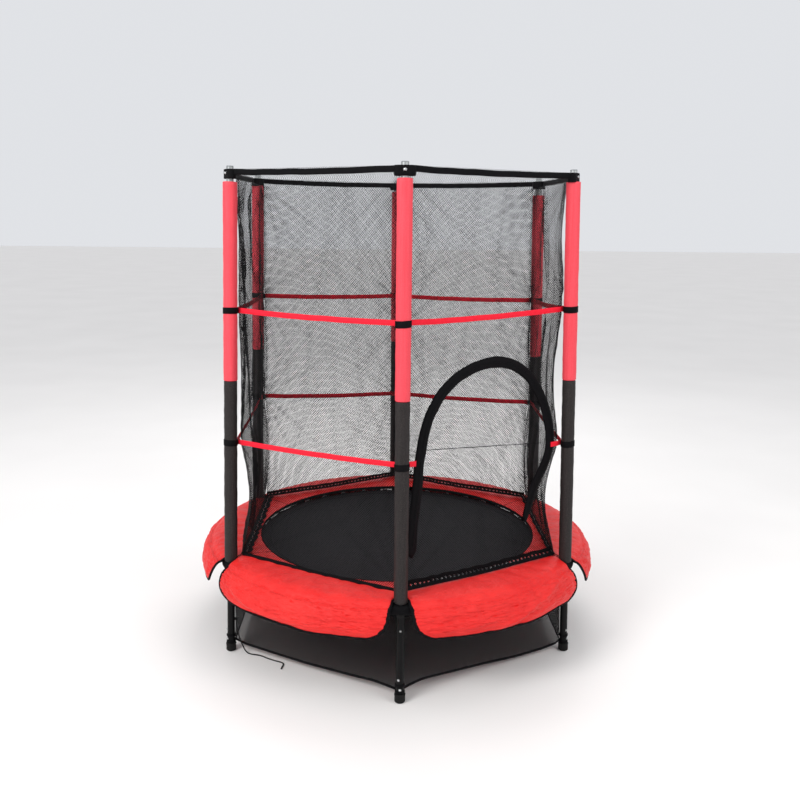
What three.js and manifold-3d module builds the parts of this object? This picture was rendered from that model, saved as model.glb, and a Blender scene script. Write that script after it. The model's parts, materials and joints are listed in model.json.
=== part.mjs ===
// A children's trampoline with a safety enclosure: six leaning posts around a round steel rail, a jumping mat on
// 36 springs, a padded spring cover with six hanging petals, a six-sided net with an arched door flap, and a
// net skirt. Millimetres, +Z up, with the origin on the floor at the middle of the trampoline.
//
// The posts stand at -90, -30, 30, 90, 150 and 210 degrees about Z and the six sides lie between them.
// Three frames place the parts:
//   - the radial frame of an angle has +X outwards, +Y along the circle and its origin at the trampoline's middle
//   - the post frame has its origin at a foot and +Z along the post, which leans inwards
//   - the panel frame has its origin at the middle of a net panel's lower edge, +X outwards and +Z up the panel

import * as THREE from 'three';
import { mergeVertices } from 'three/addons/utils/BufferGeometryUtils.js';
import Module from 'manifold-3d';

const wasm = await Module();
wasm.setup();

// ---------------------------------------------------------------------------------------------------------
// Driving dimensions
// ---------------------------------------------------------------------------------------------------------

const HEIGHT = 1600;                  // floor to the tops of the pole caps
const FOOT_RADIUS = 656;              // trampoline's middle to the middle of each foot
const LEAN = 0.028;                   // each post leans inwards by 28 mm in a metre
const GAP = 0.3;                      // clearance between pieces that fit into or rest on each other
const ROUND = 12;                     // sides of a tube's section

const RAIL_HEIGHT = 300;              // floor to the middle of the round rail
const RAIL_R = 14;                    // outer radius of the rail tube
const RAIL_WALL = 1.5;
const RAIL_SIDES = 10;                // sides of the rail's section
const RAIL_FIT = 1.4;                 // loose fit of the curved rail in the leg's cross tube
const SADDLE_R = 17;                  // the leg's cross tube, which the rail ends slot into
const SADDLE_REACH = 40;              // half of the cross tube's length
const SADDLE_WEB = 14;                // solid half-width at the middle of the cross tube

const LEG_R = 12.5;                   // outer radius of the leg tube
const LEG_BORE_R = 11.3;
const LEG_BOTTOM = 8;
const LEG_TOP = 352;                  // mouth of the socket that holds the lower pole
const SOCKET_FLOOR = 268;
const SOCKET_FLOOR_THICK = 3;

const FOOT_CAP_R = 16.5;
const FOOT_CAP_HEIGHT = 28;

const POLE_R = 11;
const POLE_BORE_R = 9.6;
const POLE_JOINT = 965;               // where the upper pole meets the lower pole
const SWAGE_LENGTH = 60;              // the upper pole's narrowed end, inside the lower pole
const SWAGE_R = 9.2;
const SWAGE_BORE_R = 8;
const POLE_CAP_THICK = 3;
const POLE_CAP_SPIGOT = 22;

const RED_FOAM_R = 22.5;
const GREY_FOAM_R = 21.5;
const FOAM_BOTTOM = 321;

const MAT_R = 505;
const MAT_TOP = 305;
const MAT_THICK = 3;
const MAT_HEM = 44;                   // width of the doubled edge
const MAT_HEM_RISE = 1;

const SPRING_COUNT = 36;
const SPRING_WIDTH = 9;
const SPRING_HEIGHT = 303;
const SPRING_IN = 516;
const SPRING_OUT = 632;
const HOOK_CIRCLE = 522;              // radius of the circle of hooks at the mat
const HOOK_R = 2.5;                   // half the thickness of that circle

const PAD_NOTCH_IN = 618;             // radius at which the pad's cut-outs for the posts begin

const NET_BOTTOM = 336;
const NET_TOP = 1590;
const NET_BOTTOM_R = 604;             // middle of the trampoline to the net's lower corners
const NET_TOP_R = 586;
const NET_THICK = 2;
const NET_CORNER_GAP = 1.5;

const DOOR_LEFT = -250;               // across the panel, from its middle
const DOOR_RIGHT = 256;
const DOOR_SILL_RIGHT = 195;          // the right edge curves in towards the sill
const DOOR_SILL = 455;                // heights above the floor
const DOOR_SPRING_LINE = 745;         // where the straight sides turn into the arch
const DOOR_TOP = 1014;
const DOOR_GAP = 1.5;
const DOOR_SILL_GAP = 3;

const SKIRT_BOTTOM = 36;
const SKIRT_TOP = 282;
const SKIRT_BOTTOM_R = 639;           // to the lower edge's corners; that edge is a hexagon
const SKIRT_TOP_R = 631;              // the upper edge is round
const SKIRT_THICK = 2;

const CORD_R = 2;

// Post by post: its name, its angle, and the heights of the red sleeve's top and of the joint between the red
// and the grey sleeve. The sleeves are pushed on by hand, so they don't all stand at one height.
const POSTS = [
  { name: 'front', angle: -90, foamTop: 1554, foamJoint: 932 },
  { name: 'front_right', angle: -30, foamTop: 1562, foamJoint: 940 },
  { name: 'back_right', angle: 30, foamTop: 1537, foamJoint: 918 },
  { name: 'back', angle: 90, foamTop: 1554, foamJoint: 932 },
  { name: 'back_left', angle: 150, foamTop: 1562, foamJoint: 940 },
  { name: 'front_left', angle: 210, foamTop: 1551, foamJoint: 931 },
];

// Side by side: its name and the angle of its middle. The door is in the front right side.
const SIDES = [
  { name: 'front_right', angle: -60 },
  { name: 'right', angle: 0 },
  { name: 'back_right', angle: 60 },
  { name: 'back_left', angle: 120 },
  { name: 'left', angle: 180 },
  { name: 'front_left', angle: 240 },
];
const DOOR_SIDE = 'front_right';

// Worked out from the dimensions above
const LEAN_ANGLE = Math.atan(LEAN);
const HALF_SIDE = Math.PI / SIDES.length;
const RAIL_CIRCLE = FOOT_RADIUS - LEAN * RAIL_HEIGHT;

// The skirt's tie cord, from its knot beside the front left leg, down over the skirt's lower edge and along the
// floor to its bare end
const CORD_ROUTE = [
  [-548, -333, 112], [-547.5, -334, 104], [-546, -335, 94], [-544, -337, 80], [-540, -340, 64],
  [-535, -343, 48], [-529, -347, 34], [-523, -350.5, 22], [-516.5, -354.5, 12], [-509, -358.5, 5.5],
  [-500, -362, 2.6], [-490, -366, 2.3], [-479, -369, 2.3], [-467, -372.5, 2.3], [-454, -380, 2.3],
  [-441, -390, 2.3], [-426, -399.5, 2.3], [-410, -409, 2.3], [-396, -416, 2.3], [-386, -421.5, 2.3],
  [-380.5, -430, 2.3], [-380, -441, 2.3], [-382, -452, 2.3], [-383, -463, 2.3],
];

// ---------------------------------------------------------------------------------------------------------
// Finishes
// ---------------------------------------------------------------------------------------------------------

const FINISHES = {
  blackPaint: { color: 0x141414, roughness: 0.45, metalness: 0.2 },
  zinc: { color: 0xb4b8bb, roughness: 0.35, metalness: 0.9 },
  blackRubber: { color: 0x121212, roughness: 0.7, metalness: 0 },
  greyPlastic: { color: 0x8c9092, roughness: 0.5, metalness: 0 },
  redFoam: { color: 0xee4854, roughness: 0.7, metalness: 0 },
  greyFoam: { color: 0x383535, roughness: 0.85, metalness: 0 },
  matFabric: { color: 0x1c1b1e, roughness: 0.8, metalness: 0 },
  redCover: { color: 0xf0342f, roughness: 0.45, metalness: 0 },
  netting: { color: 0x26262a, roughness: 0.9, metalness: 0, transparent: true, opacity: 0.35 },
  blackCord: { color: 0x101010, roughness: 0.8, metalness: 0 },
};

function namedMesh(name, geometry, finish) {
  const mesh = new THREE.Mesh(geometry, new THREE.MeshStandardMaterial(FINISHES[finish]));
  mesh.name = name;
  return mesh;
}

// ---------------------------------------------------------------------------------------------------------
// Solids
// ---------------------------------------------------------------------------------------------------------

// A solid of revolution about +Z. The profile is a list of [radius, height], anticlockwise with the radius to
// the right, and it either closes on itself or starts and ends on the axis.
function turned(profile, segments = ROUND) {
  const points = profile.map(([radius, height]) => new THREE.Vector2(radius, height));
  const onAxis = profile[0][0] === 0;
  if (!onAxis) {
    points.push(points[0].clone());
  }
  return new THREE.LatheGeometry(points, segments).rotateX(Math.PI / 2);
}

// A tube with open ends, standing on +Z
function tube(outer, inner, bottom, top, segments = ROUND) {
  return turned([[inner, bottom], [outer, bottom], [outer, top], [inner, top]], segments);
}

// A round bar standing on +Z
function bar(radius, bottom, top) {
  return turned([[0, bottom], [radius, bottom], [radius, top], [0, top]]);
}

// The arc of a horizontal circle about the trampoline's middle
class LevelArc extends THREE.Curve {
  constructor(radius, height, from, to) {
    super();
    Object.assign(this, { radius, height, from, to });
  }

  getPoint(t, target = new THREE.Vector3()) {
    const angle = this.from + (this.to - this.from) * t;
    return target.set(this.radius * Math.cos(angle), this.radius * Math.sin(angle), this.height);
  }
}

// A round section swept along a path, hollow if it has a bore
function swept(path, steps, radius, bore = 0, sides = ROUND) {
  const section = new THREE.Shape();
  section.absarc(0, 0, radius, 0, 2 * Math.PI, false);
  if (bore > 0) {
    section.holes.push(new THREE.Path().absarc(0, 0, bore, 0, 2 * Math.PI, true));
  }
  const settings = { extrudePath: path, steps, curveSegments: sides / 2 };
  return new THREE.ExtrudeGeometry(section, settings);
}

// A flat shape turned from the XY plane to stand in the YZ plane: its X becomes Y, its Y becomes Z, and its
// depth grows outwards along X
function upright(shape, depth, curveSegments = 8) {
  const geometry = new THREE.ExtrudeGeometry(shape, { depth, bevelEnabled: false, curveSegments });
  return geometry.rotateX(Math.PI / 2).rotateZ(Math.PI / 2);
}

// A geometry as a solid that can be joined and cut: shared corners merged, empty triangles dropped
function solidOf(geometry) {
  const bare = geometry.clone();
  bare.deleteAttribute('normal');
  bare.deleteAttribute('uv');
  const merged = mergeVertices(bare, 1e-4);
  const corners = [];
  for (let i = 0; i < merged.index.count; i += 3) {
    const [a, b, c] = [0, 1, 2].map((k) => merged.index.getX(i + k));
    if (a !== b && b !== c && c !== a) {
      corners.push(a, b, c);
    }
  }
  return new wasm.Manifold(new wasm.Mesh({
    numProp: 3,
    vertProperties: new Float32Array(merged.attributes.position.array),
    triVerts: new Uint32Array(corners),
  }));
}

function geometryOf(solid) {
  const mesh = solid.getMesh();
  const geometry = new THREE.BufferGeometry();
  geometry.setAttribute('position', new THREE.BufferAttribute(mesh.vertProperties, 3));
  geometry.setIndex(new THREE.BufferAttribute(mesh.triVerts, 1));
  geometry.computeVertexNormals();
  return geometry;
}

// ---------------------------------------------------------------------------------------------------------
// Frames
// ---------------------------------------------------------------------------------------------------------

function radialFrame(degrees) {
  const frame = new THREE.Group();
  frame.rotation.z = THREE.MathUtils.degToRad(degrees);
  return frame;
}

function postFrame() {
  const frame = new THREE.Group();
  frame.position.x = FOOT_RADIUS;
  frame.rotation.y = -LEAN_ANGLE;
  return frame;
}

function panelFrame() {
  const bottom = NET_BOTTOM_R * Math.cos(HALF_SIDE);
  const top = NET_TOP_R * Math.cos(HALF_SIDE);
  const frame = new THREE.Group();
  frame.position.set(bottom, 0, NET_BOTTOM);
  frame.rotation.y = -Math.atan((bottom - top) / (NET_TOP - NET_BOTTOM));
  return frame;
}

// Moves a geometry from the post frame to the radial frame
function leaned(geometry) {
  return geometry.rotateY(-LEAN_ANGLE).translate(FOOT_RADIUS, 0, 0);
}

// ---------------------------------------------------------------------------------------------------------
// Steel frame
// ---------------------------------------------------------------------------------------------------------

// A leg with its cross tube for the rail ends and its socket for the pole, in the radial frame
function legGeometry() {
  const half = SADDLE_REACH / RAIL_CIRCLE;
  const web = SADDLE_WEB / RAIL_CIRCLE;
  const crossTube = new LevelArc(RAIL_CIRCLE, RAIL_HEIGHT, -half, half);
  const leftBore = new LevelArc(RAIL_CIRCLE, RAIL_HEIGHT, -half * 1.1, -web);
  const rightBore = new LevelArc(RAIL_CIRCLE, RAIL_HEIGHT, web, half * 1.1);
  const boreR = RAIL_R + RAIL_FIT;
  return geometryOf(
    solidOf(leaned(bar(LEG_R, LEG_BOTTOM, LEG_TOP)))
      .add(solidOf(swept(crossTube, 2, SADDLE_R)))
      .subtract(solidOf(swept(leftBore, 1, boreR)))
      .subtract(solidOf(swept(rightBore, 1, boreR)))
      .subtract(solidOf(leaned(bar(LEG_BORE_R, SOCKET_FLOOR, LEG_TOP + 1))))
      .subtract(solidOf(leaned(bar(LEG_BORE_R, LEG_BOTTOM - 1, SOCKET_FLOOR - SOCKET_FLOOR_THICK))))
  );
}

// One sixth of the round rail, from cross tube to cross tube, in the radial frame of its side
function railGeometry() {
  const end = HALF_SIDE - (SADDLE_WEB + GAP) / RAIL_CIRCLE;
  const arc = new LevelArc(RAIL_CIRCLE, RAIL_HEIGHT, -end, end);
  return swept(arc, 12, RAIL_R, RAIL_R - RAIL_WALL, RAIL_SIDES);
}

// A foot cap around the leg's lower end, with its underside cut level with the floor, in the radial frame
function footCapGeometry() {
  const bore = LEG_R + GAP;
  const bottom = -2;
  const cap = turned([
    [0, bottom], [FOOT_CAP_R, bottom], [FOOT_CAP_R, FOOT_CAP_HEIGHT - 4], [FOOT_CAP_R - 2, FOOT_CAP_HEIGHT],
    [bore, FOOT_CAP_HEIGHT], [bore, LEG_BOTTOM - GAP], [0, LEG_BOTTOM - GAP],
  ]);
  const belowFloor = new THREE.BoxGeometry(60, 60, 20).translate(FOOT_RADIUS, 0, -10);
  return geometryOf(solidOf(leaned(cap)).subtract(solidOf(belowFloor)));
}

function lowerPoleGeometry() {
  return tube(POLE_R, POLE_BORE_R, SOCKET_FLOOR + GAP, POLE_JOINT);
}

// The upper pole, whose narrowed lower end slides into the lower pole
function upperPoleGeometry() {
  const bottom = POLE_JOINT - SWAGE_LENGTH;
  const top = HEIGHT - POLE_CAP_THICK - GAP;
  return turned([
    [SWAGE_BORE_R, bottom], [SWAGE_R, bottom], [SWAGE_R, POLE_JOINT + GAP], [POLE_R, POLE_JOINT + GAP],
    [POLE_R, top], [POLE_BORE_R, top], [POLE_BORE_R, POLE_JOINT + 5], [SWAGE_BORE_R, POLE_JOINT + 2],
  ]);
}

// A plug that closes the pole's upper end
function poleCapGeometry() {
  const rim = HEIGHT - POLE_CAP_THICK;
  const spigot = POLE_BORE_R - GAP;
  return turned([
    [0, rim - POLE_CAP_SPIGOT], [spigot, rim - POLE_CAP_SPIGOT], [spigot, rim],
    [POLE_R + 0.5, rim], [POLE_R + 0.5, HEIGHT - 1], [POLE_R - 1, HEIGHT], [0, HEIGHT],
  ]);
}

// ---------------------------------------------------------------------------------------------------------
// Foam sleeves on the posts
// ---------------------------------------------------------------------------------------------------------

function redFoamGeometry(post) {
  return tube(RED_FOAM_R, POLE_R + 2 * GAP, post.foamJoint + GAP, post.foamTop);
}

// The grey sleeve is wider inside at its foot, where it covers the leg's socket
function greyFoamGeometry(post) {
  const socket = LEG_R + 2 * GAP;
  const pole = POLE_R + 2 * GAP;
  return turned([
    [socket, FOAM_BOTTOM], [GREY_FOAM_R, FOAM_BOTTOM], [GREY_FOAM_R, post.foamJoint],
    [pole, post.foamJoint], [pole, LEG_TOP + 3], [socket, LEG_TOP + 1],
  ]);
}

// ---------------------------------------------------------------------------------------------------------
// Mat, springs and pad
// ---------------------------------------------------------------------------------------------------------

function matGeometry() {
  const bottom = MAT_TOP - MAT_THICK;
  const hemTop = MAT_TOP + MAT_HEM_RISE;
  return turned([
    [0, bottom], [MAT_R, bottom], [MAT_R, hemTop], [MAT_R - MAT_HEM, hemTop],
    [MAT_R - MAT_HEM - 2, MAT_TOP], [0, MAT_TOP],
  ], 48);
}

// All the springs as plain square bars, held together by the circle of hooks at the mat. The springs are spread
// evenly with none at a post.
function springSetGeometry() {
  const pitch = 2 * Math.PI / SPRING_COUNT;
  const low = SPRING_HEIGHT - HOOK_R;
  const high = SPRING_HEIGHT + HOOK_R;
  const hooks = tube(HOOK_CIRCLE + HOOK_R, HOOK_CIRCLE - HOOK_R, low, high, SPRING_COUNT);
  const spring = new THREE.BoxGeometry(SPRING_OUT - SPRING_IN, SPRING_WIDTH, SPRING_WIDTH);
  spring.translate((SPRING_OUT + SPRING_IN) / 2, 0, SPRING_HEIGHT);
  let joined = solidOf(hooks);
  for (let i = 0; i < SPRING_COUNT; i += 1) {
    joined = joined.add(solidOf(spring.clone().rotateZ((i + 0.5) * pitch)));
  }
  return geometryOf(joined);
}

// The section of the pad: thin at the mat, thick over the springs and rail, and hanging outside the rail
const PAD_SECTION = [
  [498, 312], [642, 319.5], [656, 318.5], [675, 303], [690, 268], [688, 226], [698, 222],
  [705, 250], [701, 281], [688, 307], [660, 327], [620, 332.5], [540, 328], [498, 319],
];

// The cut-out around a post: half its width at each height. It hugs the foam sleeve at the top and opens into
// the rounded gap between two petals.
const NOTCH_HALF_WIDTHS = [
  [26, 350], [26, 330], [29, 318], [35, 303], [38, 285], [43, 268], [52, 252], [68, 238], [92, 226], [110, 218],
];

function notchShape() {
  const right = NOTCH_HALF_WIDTHS.map(([half, height]) => new THREE.Vector2(half, height));
  const left = NOTCH_HALF_WIDTHS.map(([half, height]) => new THREE.Vector2(-half, height)).reverse();
  return new THREE.Shape([...left, ...right].reverse());
}

function padGeometry() {
  const cutter = upright(notchShape(), 200).translate(PAD_NOTCH_IN, 0, 0);
  let pad = solidOf(turned(PAD_SECTION, 60));
  for (const post of POSTS) {
    const turn = THREE.MathUtils.degToRad(post.angle);
    pad = pad.subtract(solidOf(cutter.clone().rotateZ(turn)));
  }
  return geometryOf(pad);
}

// ---------------------------------------------------------------------------------------------------------
// Enclosure net and door
// ---------------------------------------------------------------------------------------------------------

// A net panel's outline in the panel frame; the panel narrows upwards because the posts lean
function panelShape() {
  const bottom = NET_BOTTOM_R * Math.sin(HALF_SIDE) - NET_CORNER_GAP;
  const top = NET_TOP_R * Math.sin(HALF_SIDE) - NET_CORNER_GAP;
  const height = NET_TOP - NET_BOTTOM;
  return new THREE.Shape([
    new THREE.Vector2(-bottom, 0), new THREE.Vector2(bottom, 0),
    new THREE.Vector2(top, height), new THREE.Vector2(-top, height),
  ]);
}

// The door's outline in the panel frame, drawn smaller by a gap at its edge and another at its sill
function traceDoor(path, gap, sillGap) {
  const left = DOOR_LEFT + gap;
  const right = DOOR_RIGHT - gap;
  const sillRight = DOOR_SILL_RIGHT - gap;
  const sill = DOOR_SILL + sillGap - NET_BOTTOM;
  const springLine = DOOR_SPRING_LINE - NET_BOTTOM;
  const rise = DOOR_TOP - DOOR_SPRING_LINE - gap;
  const bend = (springLine - sill) / 3;
  path.moveTo(left, sill);
  path.lineTo(sillRight, sill);
  path.bezierCurveTo(sillRight + 42, sill + bend, right, springLine - bend, right, springLine);
  path.absellipse((left + right) / 2, springLine, (right - left) / 2, rise, 0, Math.PI, false);
  path.lineTo(left, sill);
  return path;
}

function netPanelGeometry(hasDoor) {
  const shape = panelShape();
  if (hasDoor) {
    shape.holes.push(traceDoor(new THREE.Path(), 0, 0));
  }
  return upright(shape, NET_THICK).translate(-NET_THICK / 2, 0, 0);
}

function doorFlapGeometry() {
  const shape = traceDoor(new THREE.Shape(), DOOR_GAP, DOOR_SILL_GAP);
  return upright(shape, NET_THICK).translate(-NET_THICK / 2, 0, 0);
}

// ---------------------------------------------------------------------------------------------------------
// Skirt and cord
// ---------------------------------------------------------------------------------------------------------

// The skirt hangs from inside the rail. Its upper edge is round and its lower edge is pulled straight from leg
// to leg, so each corner keeps its radius and what lies between is drawn in, more and more towards the bottom.
function skirtDrum(inwards, beyond) {
  const drum = turned([
    [0, SKIRT_BOTTOM - beyond], [SKIRT_BOTTOM_R - inwards, SKIRT_BOTTOM - beyond],
    [SKIRT_TOP_R - inwards, SKIRT_TOP + beyond], [0, SKIRT_TOP + beyond],
  ], 48);
  const positions = drum.attributes.position;
  for (let i = 0; i < positions.count; i += 1) {
    const [x, y, z] = [positions.getX(i), positions.getY(i), positions.getZ(i)];
    const side = 2 * HALF_SIDE;
    const angle = Math.atan2(y, x);
    const fromMiddle = angle - Math.round(angle / side) * side;
    const straight = Math.cos(HALF_SIDE) / Math.cos(fromMiddle);
    const share = (SKIRT_TOP - z) / (SKIRT_TOP - SKIRT_BOTTOM);
    const drawn = 1 + (straight - 1) * share;
    positions.setXY(i, x * drawn, y * drawn);
  }
  return drum;
}

// The skirt is a drum with a slightly smaller drum taken out of it, right through both ends.
function skirtGeometry() {
  return geometryOf(solidOf(skirtDrum(0, 0)).subtract(solidOf(skirtDrum(SKIRT_THICK, 1))));
}

function cordGeometry() {
  const path = new THREE.CatmullRomCurve3(CORD_ROUTE.map((point) => new THREE.Vector3(...point)));
  return swept(path, 32, CORD_R, 0, 8);
}

// ---------------------------------------------------------------------------------------------------------
// Assembly
// ---------------------------------------------------------------------------------------------------------

const trampoline = new THREE.Group();
const leg = legGeometry();
const footCap = footCapGeometry();
const lowerPole = lowerPoleGeometry();
const upperPole = upperPoleGeometry();
const poleCap = poleCapGeometry();

for (const post of POSTS) {
  const radial = radialFrame(post.angle);
  const along = postFrame();
  radial.add(namedMesh(`foot_cap_${post.name}`, footCap, 'blackRubber'));
  radial.add(namedMesh(`leg_${post.name}`, leg, 'blackPaint'));
  along.add(namedMesh(`lower_pole_${post.name}`, lowerPole, 'zinc'));
  along.add(namedMesh(`upper_pole_${post.name}`, upperPole, 'zinc'));
  along.add(namedMesh(`pole_cap_${post.name}`, poleCap, 'greyPlastic'));
  along.add(namedMesh(`red_foam_${post.name}`, redFoamGeometry(post), 'redFoam'));
  along.add(namedMesh(`grey_foam_${post.name}`, greyFoamGeometry(post), 'greyFoam'));
  radial.add(along);
  trampoline.add(radial);
}

const rail = railGeometry();

for (const side of SIDES) {
  const radial = radialFrame(side.angle);
  const panel = panelFrame();
  const hasDoor = side.name === DOOR_SIDE;
  radial.add(namedMesh(`rail_${side.name}`, rail, 'blackPaint'));
  panel.add(namedMesh(`net_panel_${side.name}`, netPanelGeometry(hasDoor), 'netting'));
  if (hasDoor) {
    panel.add(namedMesh('door_flap', doorFlapGeometry(), 'netting'));
  }
  radial.add(panel);
  trampoline.add(radial);
}

trampoline.add(namedMesh('jumping_mat', matGeometry(), 'matFabric'));
trampoline.add(namedMesh('spring_set', springSetGeometry(), 'zinc'));
trampoline.add(namedMesh('spring_pad', padGeometry(), 'redCover'));
trampoline.add(namedMesh('skirt', skirtGeometry(), 'netting'));
trampoline.add(namedMesh('skirt_cord', cordGeometry(), 'blackCord'));

export default trampoline;
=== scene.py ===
"""The looks of a six-post trampoline with a safety enclosure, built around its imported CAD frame.

Metres, +Z up. The origin is on the floor at the middle of the trampoline, and the front post is towards -Y.
"""

import json
import math
import random

import bmesh
import bpy
from mathutils import Matrix, Vector, noise


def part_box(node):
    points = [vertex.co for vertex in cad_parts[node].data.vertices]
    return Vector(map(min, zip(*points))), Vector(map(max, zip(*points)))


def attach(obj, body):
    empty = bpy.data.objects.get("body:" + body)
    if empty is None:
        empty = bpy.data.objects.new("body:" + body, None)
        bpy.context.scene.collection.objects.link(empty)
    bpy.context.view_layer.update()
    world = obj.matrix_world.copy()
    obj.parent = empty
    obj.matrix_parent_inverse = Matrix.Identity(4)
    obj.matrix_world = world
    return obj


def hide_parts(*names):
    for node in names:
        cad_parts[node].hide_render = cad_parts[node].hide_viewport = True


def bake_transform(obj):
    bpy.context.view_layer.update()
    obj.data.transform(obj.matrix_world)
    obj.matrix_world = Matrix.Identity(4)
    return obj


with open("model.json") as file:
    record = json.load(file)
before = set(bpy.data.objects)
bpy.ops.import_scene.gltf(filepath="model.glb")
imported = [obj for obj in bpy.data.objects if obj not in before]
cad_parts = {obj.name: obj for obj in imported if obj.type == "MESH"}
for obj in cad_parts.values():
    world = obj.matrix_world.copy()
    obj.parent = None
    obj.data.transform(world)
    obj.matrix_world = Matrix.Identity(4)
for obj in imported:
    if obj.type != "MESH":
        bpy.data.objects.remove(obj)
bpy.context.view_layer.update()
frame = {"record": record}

# ---- Driving sizes, in metres ----

# Each post stands between two sides. They are named in the order in which they go round.
POST_NAMES = ("front", "front_right", "back_right", "back", "back_left", "front_left")
SIDE_NAMES = ("front_right", "right", "back_right", "back_left", "left", "front_left")
SIDES = range(len(SIDE_NAMES))

# Heights of the two hook-and-loop straps on each post, upper and lower
STRAP_HEIGHTS = {
    "front": (1.153, 0.737), "front_right": (1.168, 0.729), "back_right": (1.140, 0.734),
    "back": (1.127, 0.706), "back_left": (1.149, 0.753), "front_left": (1.155, 0.727),
}
STRAP_TALL = 0.020
RIBBON_TALL = 0.017

TUBE_R = 0.0125                        # leg
FOOT_CAP_R, FOOT_CAP_TALL = 0.0165, 0.028
RAIL_R, RAIL_Z = 0.014, 0.300
CROSS_TUBE_R, CROSS_TUBE_REACH = 0.0168, 0.040
SOCKET_TOP = 0.352
POLE_R, POLE_BORE = 0.011, 0.0096
FOAM_R = {"red": 0.0222, "grey": 0.0212}
# Height, sideways place and head radius of the screws in each leg
LEG_SCREWS = ((0.234, 0.0, 0.0026), (0.075, -0.005, 0.0034), (0.043, 0.0, 0.0036))

MAT_R, MAT_HEM, MAT_THICK = 0.505, 0.044, 0.0022
MAT_FACE = 0.3038                      # height of the mat's upper face at its edge, without the hem
MAT_HEM_RISE = 0.0009
SPRING_COUNT = 36
SPRING_IN, SPRING_OUT, SPRING_Z = 0.516, 0.6325, 0.303
SPRING_COIL_R, SPRING_WIRE_R = 0.0043, 0.0009

# The pad's section, as (radius, height): its upper face from the mat outwards and down the petal, and the
# face below it. The first points of both are the inner edge and the last are the petal's lower edge.
PAD_UPPER = ((0.498, 0.3225), (0.540, 0.3295), (0.620, 0.3325), (0.655, 0.3285), (0.675, 0.3150),
             (0.695, 0.2940), (0.705, 0.2670), (0.7055, 0.2440), (0.698, 0.2240))
PAD_LOWER = ((0.5005, 0.3175), (0.560, 0.3185), (0.622, 0.3215), (0.650, 0.3205), (0.668, 0.3085),
             (0.6875, 0.2890), (0.6975, 0.2650), (0.6990, 0.2440), (0.6925, 0.2250))
PAD_RING_R = 0.626                     # the petals are parted beyond this radius
PAD_INNER_R = 0.4985
PAD_COLUMNS = 45                       # across one side
PAD_ROWS = 40                          # from the inner edge to a petal's lower edge
PAD_CREASE = 0.5                       # how far down its section the pad bends over the rail
PAD_SEAM_STEP = 5                      # columns between the radial lines of stitching
PAD_SMOOTH_BELOW = 75                  # degrees
CLOTH_FRAMES = 20
# The folds of the two petals in front, each from one place to another on the petal. A place is its share
# of the half width from the middle, and of the way down the section; then come half width and height.
PETAL_FOLDS = {
    "front_right": (
        ((0.85, 0.47), (-0.30, 1.00), 0.011, 0.0100), ((0.45, 0.60), (0.00, 1.02), 0.009, -0.0070),
        ((-0.95, 0.74), (0.05, 0.64), 0.008, -0.0045), ((-0.90, 0.86), (-0.20, 0.80), 0.009, 0.0040),
        ((0.95, 0.70), (0.30, 0.86), 0.012, 0.0040)),
    "front_left": (
        ((-0.92, 0.66), (-0.05, 0.97), 0.012, 0.0095), ((-0.60, 0.92), (0.30, 1.02), 0.011, -0.0070),
        ((0.95, 0.72), (0.10, 0.80), 0.008, -0.0040), ((-0.95, 0.52), (-0.60, 0.95), 0.010, -0.0050),
        ((0.20, 0.66), (0.90, 0.92), 0.010, 0.0035)),
}
PETAL_HALF_WIDE, PETAL_DEEP = 0.33, 0.21
# Half the gap between two petals at a post, as (height, half width)
PETAL_GAP = ((0.336, 0.0), (0.330, 0.024), (0.318, 0.030), (0.303, 0.035), (0.285, 0.038), (0.268, 0.043),
             (0.252, 0.052), (0.238, 0.068), (0.228, 0.088), (0.222, 0.112))

NET_BOTTOM, NET_TOP = 0.336, 1.5875
NET_BOTTOM_R, NET_TOP_R = 0.604, 0.587
NET_CINCH = 1.550                      # above this the net goes out to the binding
BINDING_Z, BINDING_TALL = 1.579, 0.018
POCKET_Z = 1.5755
DOOR_SILL = 0.455
DOOR_SIDE = SIDE_NAMES.index("front_right")
DOOR_AREA = 0.242
# The arched zip cover of the door: distance from the middle of its side and height, from lower left to right
DOOR_ARCH = ((-0.260, 0.437), (-0.244, 0.640), (-0.240, 0.745), (-0.197, 0.880), (-0.096, 0.981),
             (0.050, 1.014), (0.173, 0.964), (0.248, 0.848), (0.262, 0.700), (0.229, 0.578),
             (0.192, 0.468))
DOOR_COVER_WIDE = 0.035
# For each side of net: how slack it is, how bunched it looks at its foot and at its top, and how far out
# its middle billows
NET_SIDES = {
    "front_right": (0.25, 0.0, -0.1, -0.003), "right": (0.8, 1.7, 0.5, 0.012),
    "back_right": (0.3, 0.0, 0.0, -0.004), "back_left": (0.3, 0.0, 0.0, -0.004),
    "left": (1.0, 2.0, 0.5, 0.016), "front_left": (0.2, 0.05, 0.0, -0.003),
}
# How far each corner seam is pulled in below, between and above its straps
CORNER_PULL = {"front": (0.006, 0.004, 0.004), "front_right": (0.034, 0.018, 0.008),
               "back_right": (0.012, 0.008, 0.004), "back": (0.008, 0.006, 0.004),
               "back_left": (0.012, 0.006, 0.004), "front_left": (0.030, 0.003, 0.003)}
# How steeply each side's wide hem stands up from the pad, in degrees, how deep its scallops are, and how
# wide it is
WIDE_HEMS = {"front_right": (52, 0.10, 0.030), "right": (30, 0.20, 0.030), "back_right": (60, 0.05, 0.030),
             "back_left": (60, 0.05, 0.030), "left": (8, 0.22, 0.036)}
HEM_HOLES = 38

SKIRT_TOP, SKIRT_TOP_R = 0.282, 0.631
SKIRT_BOTTOM_R = 0.641
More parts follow.
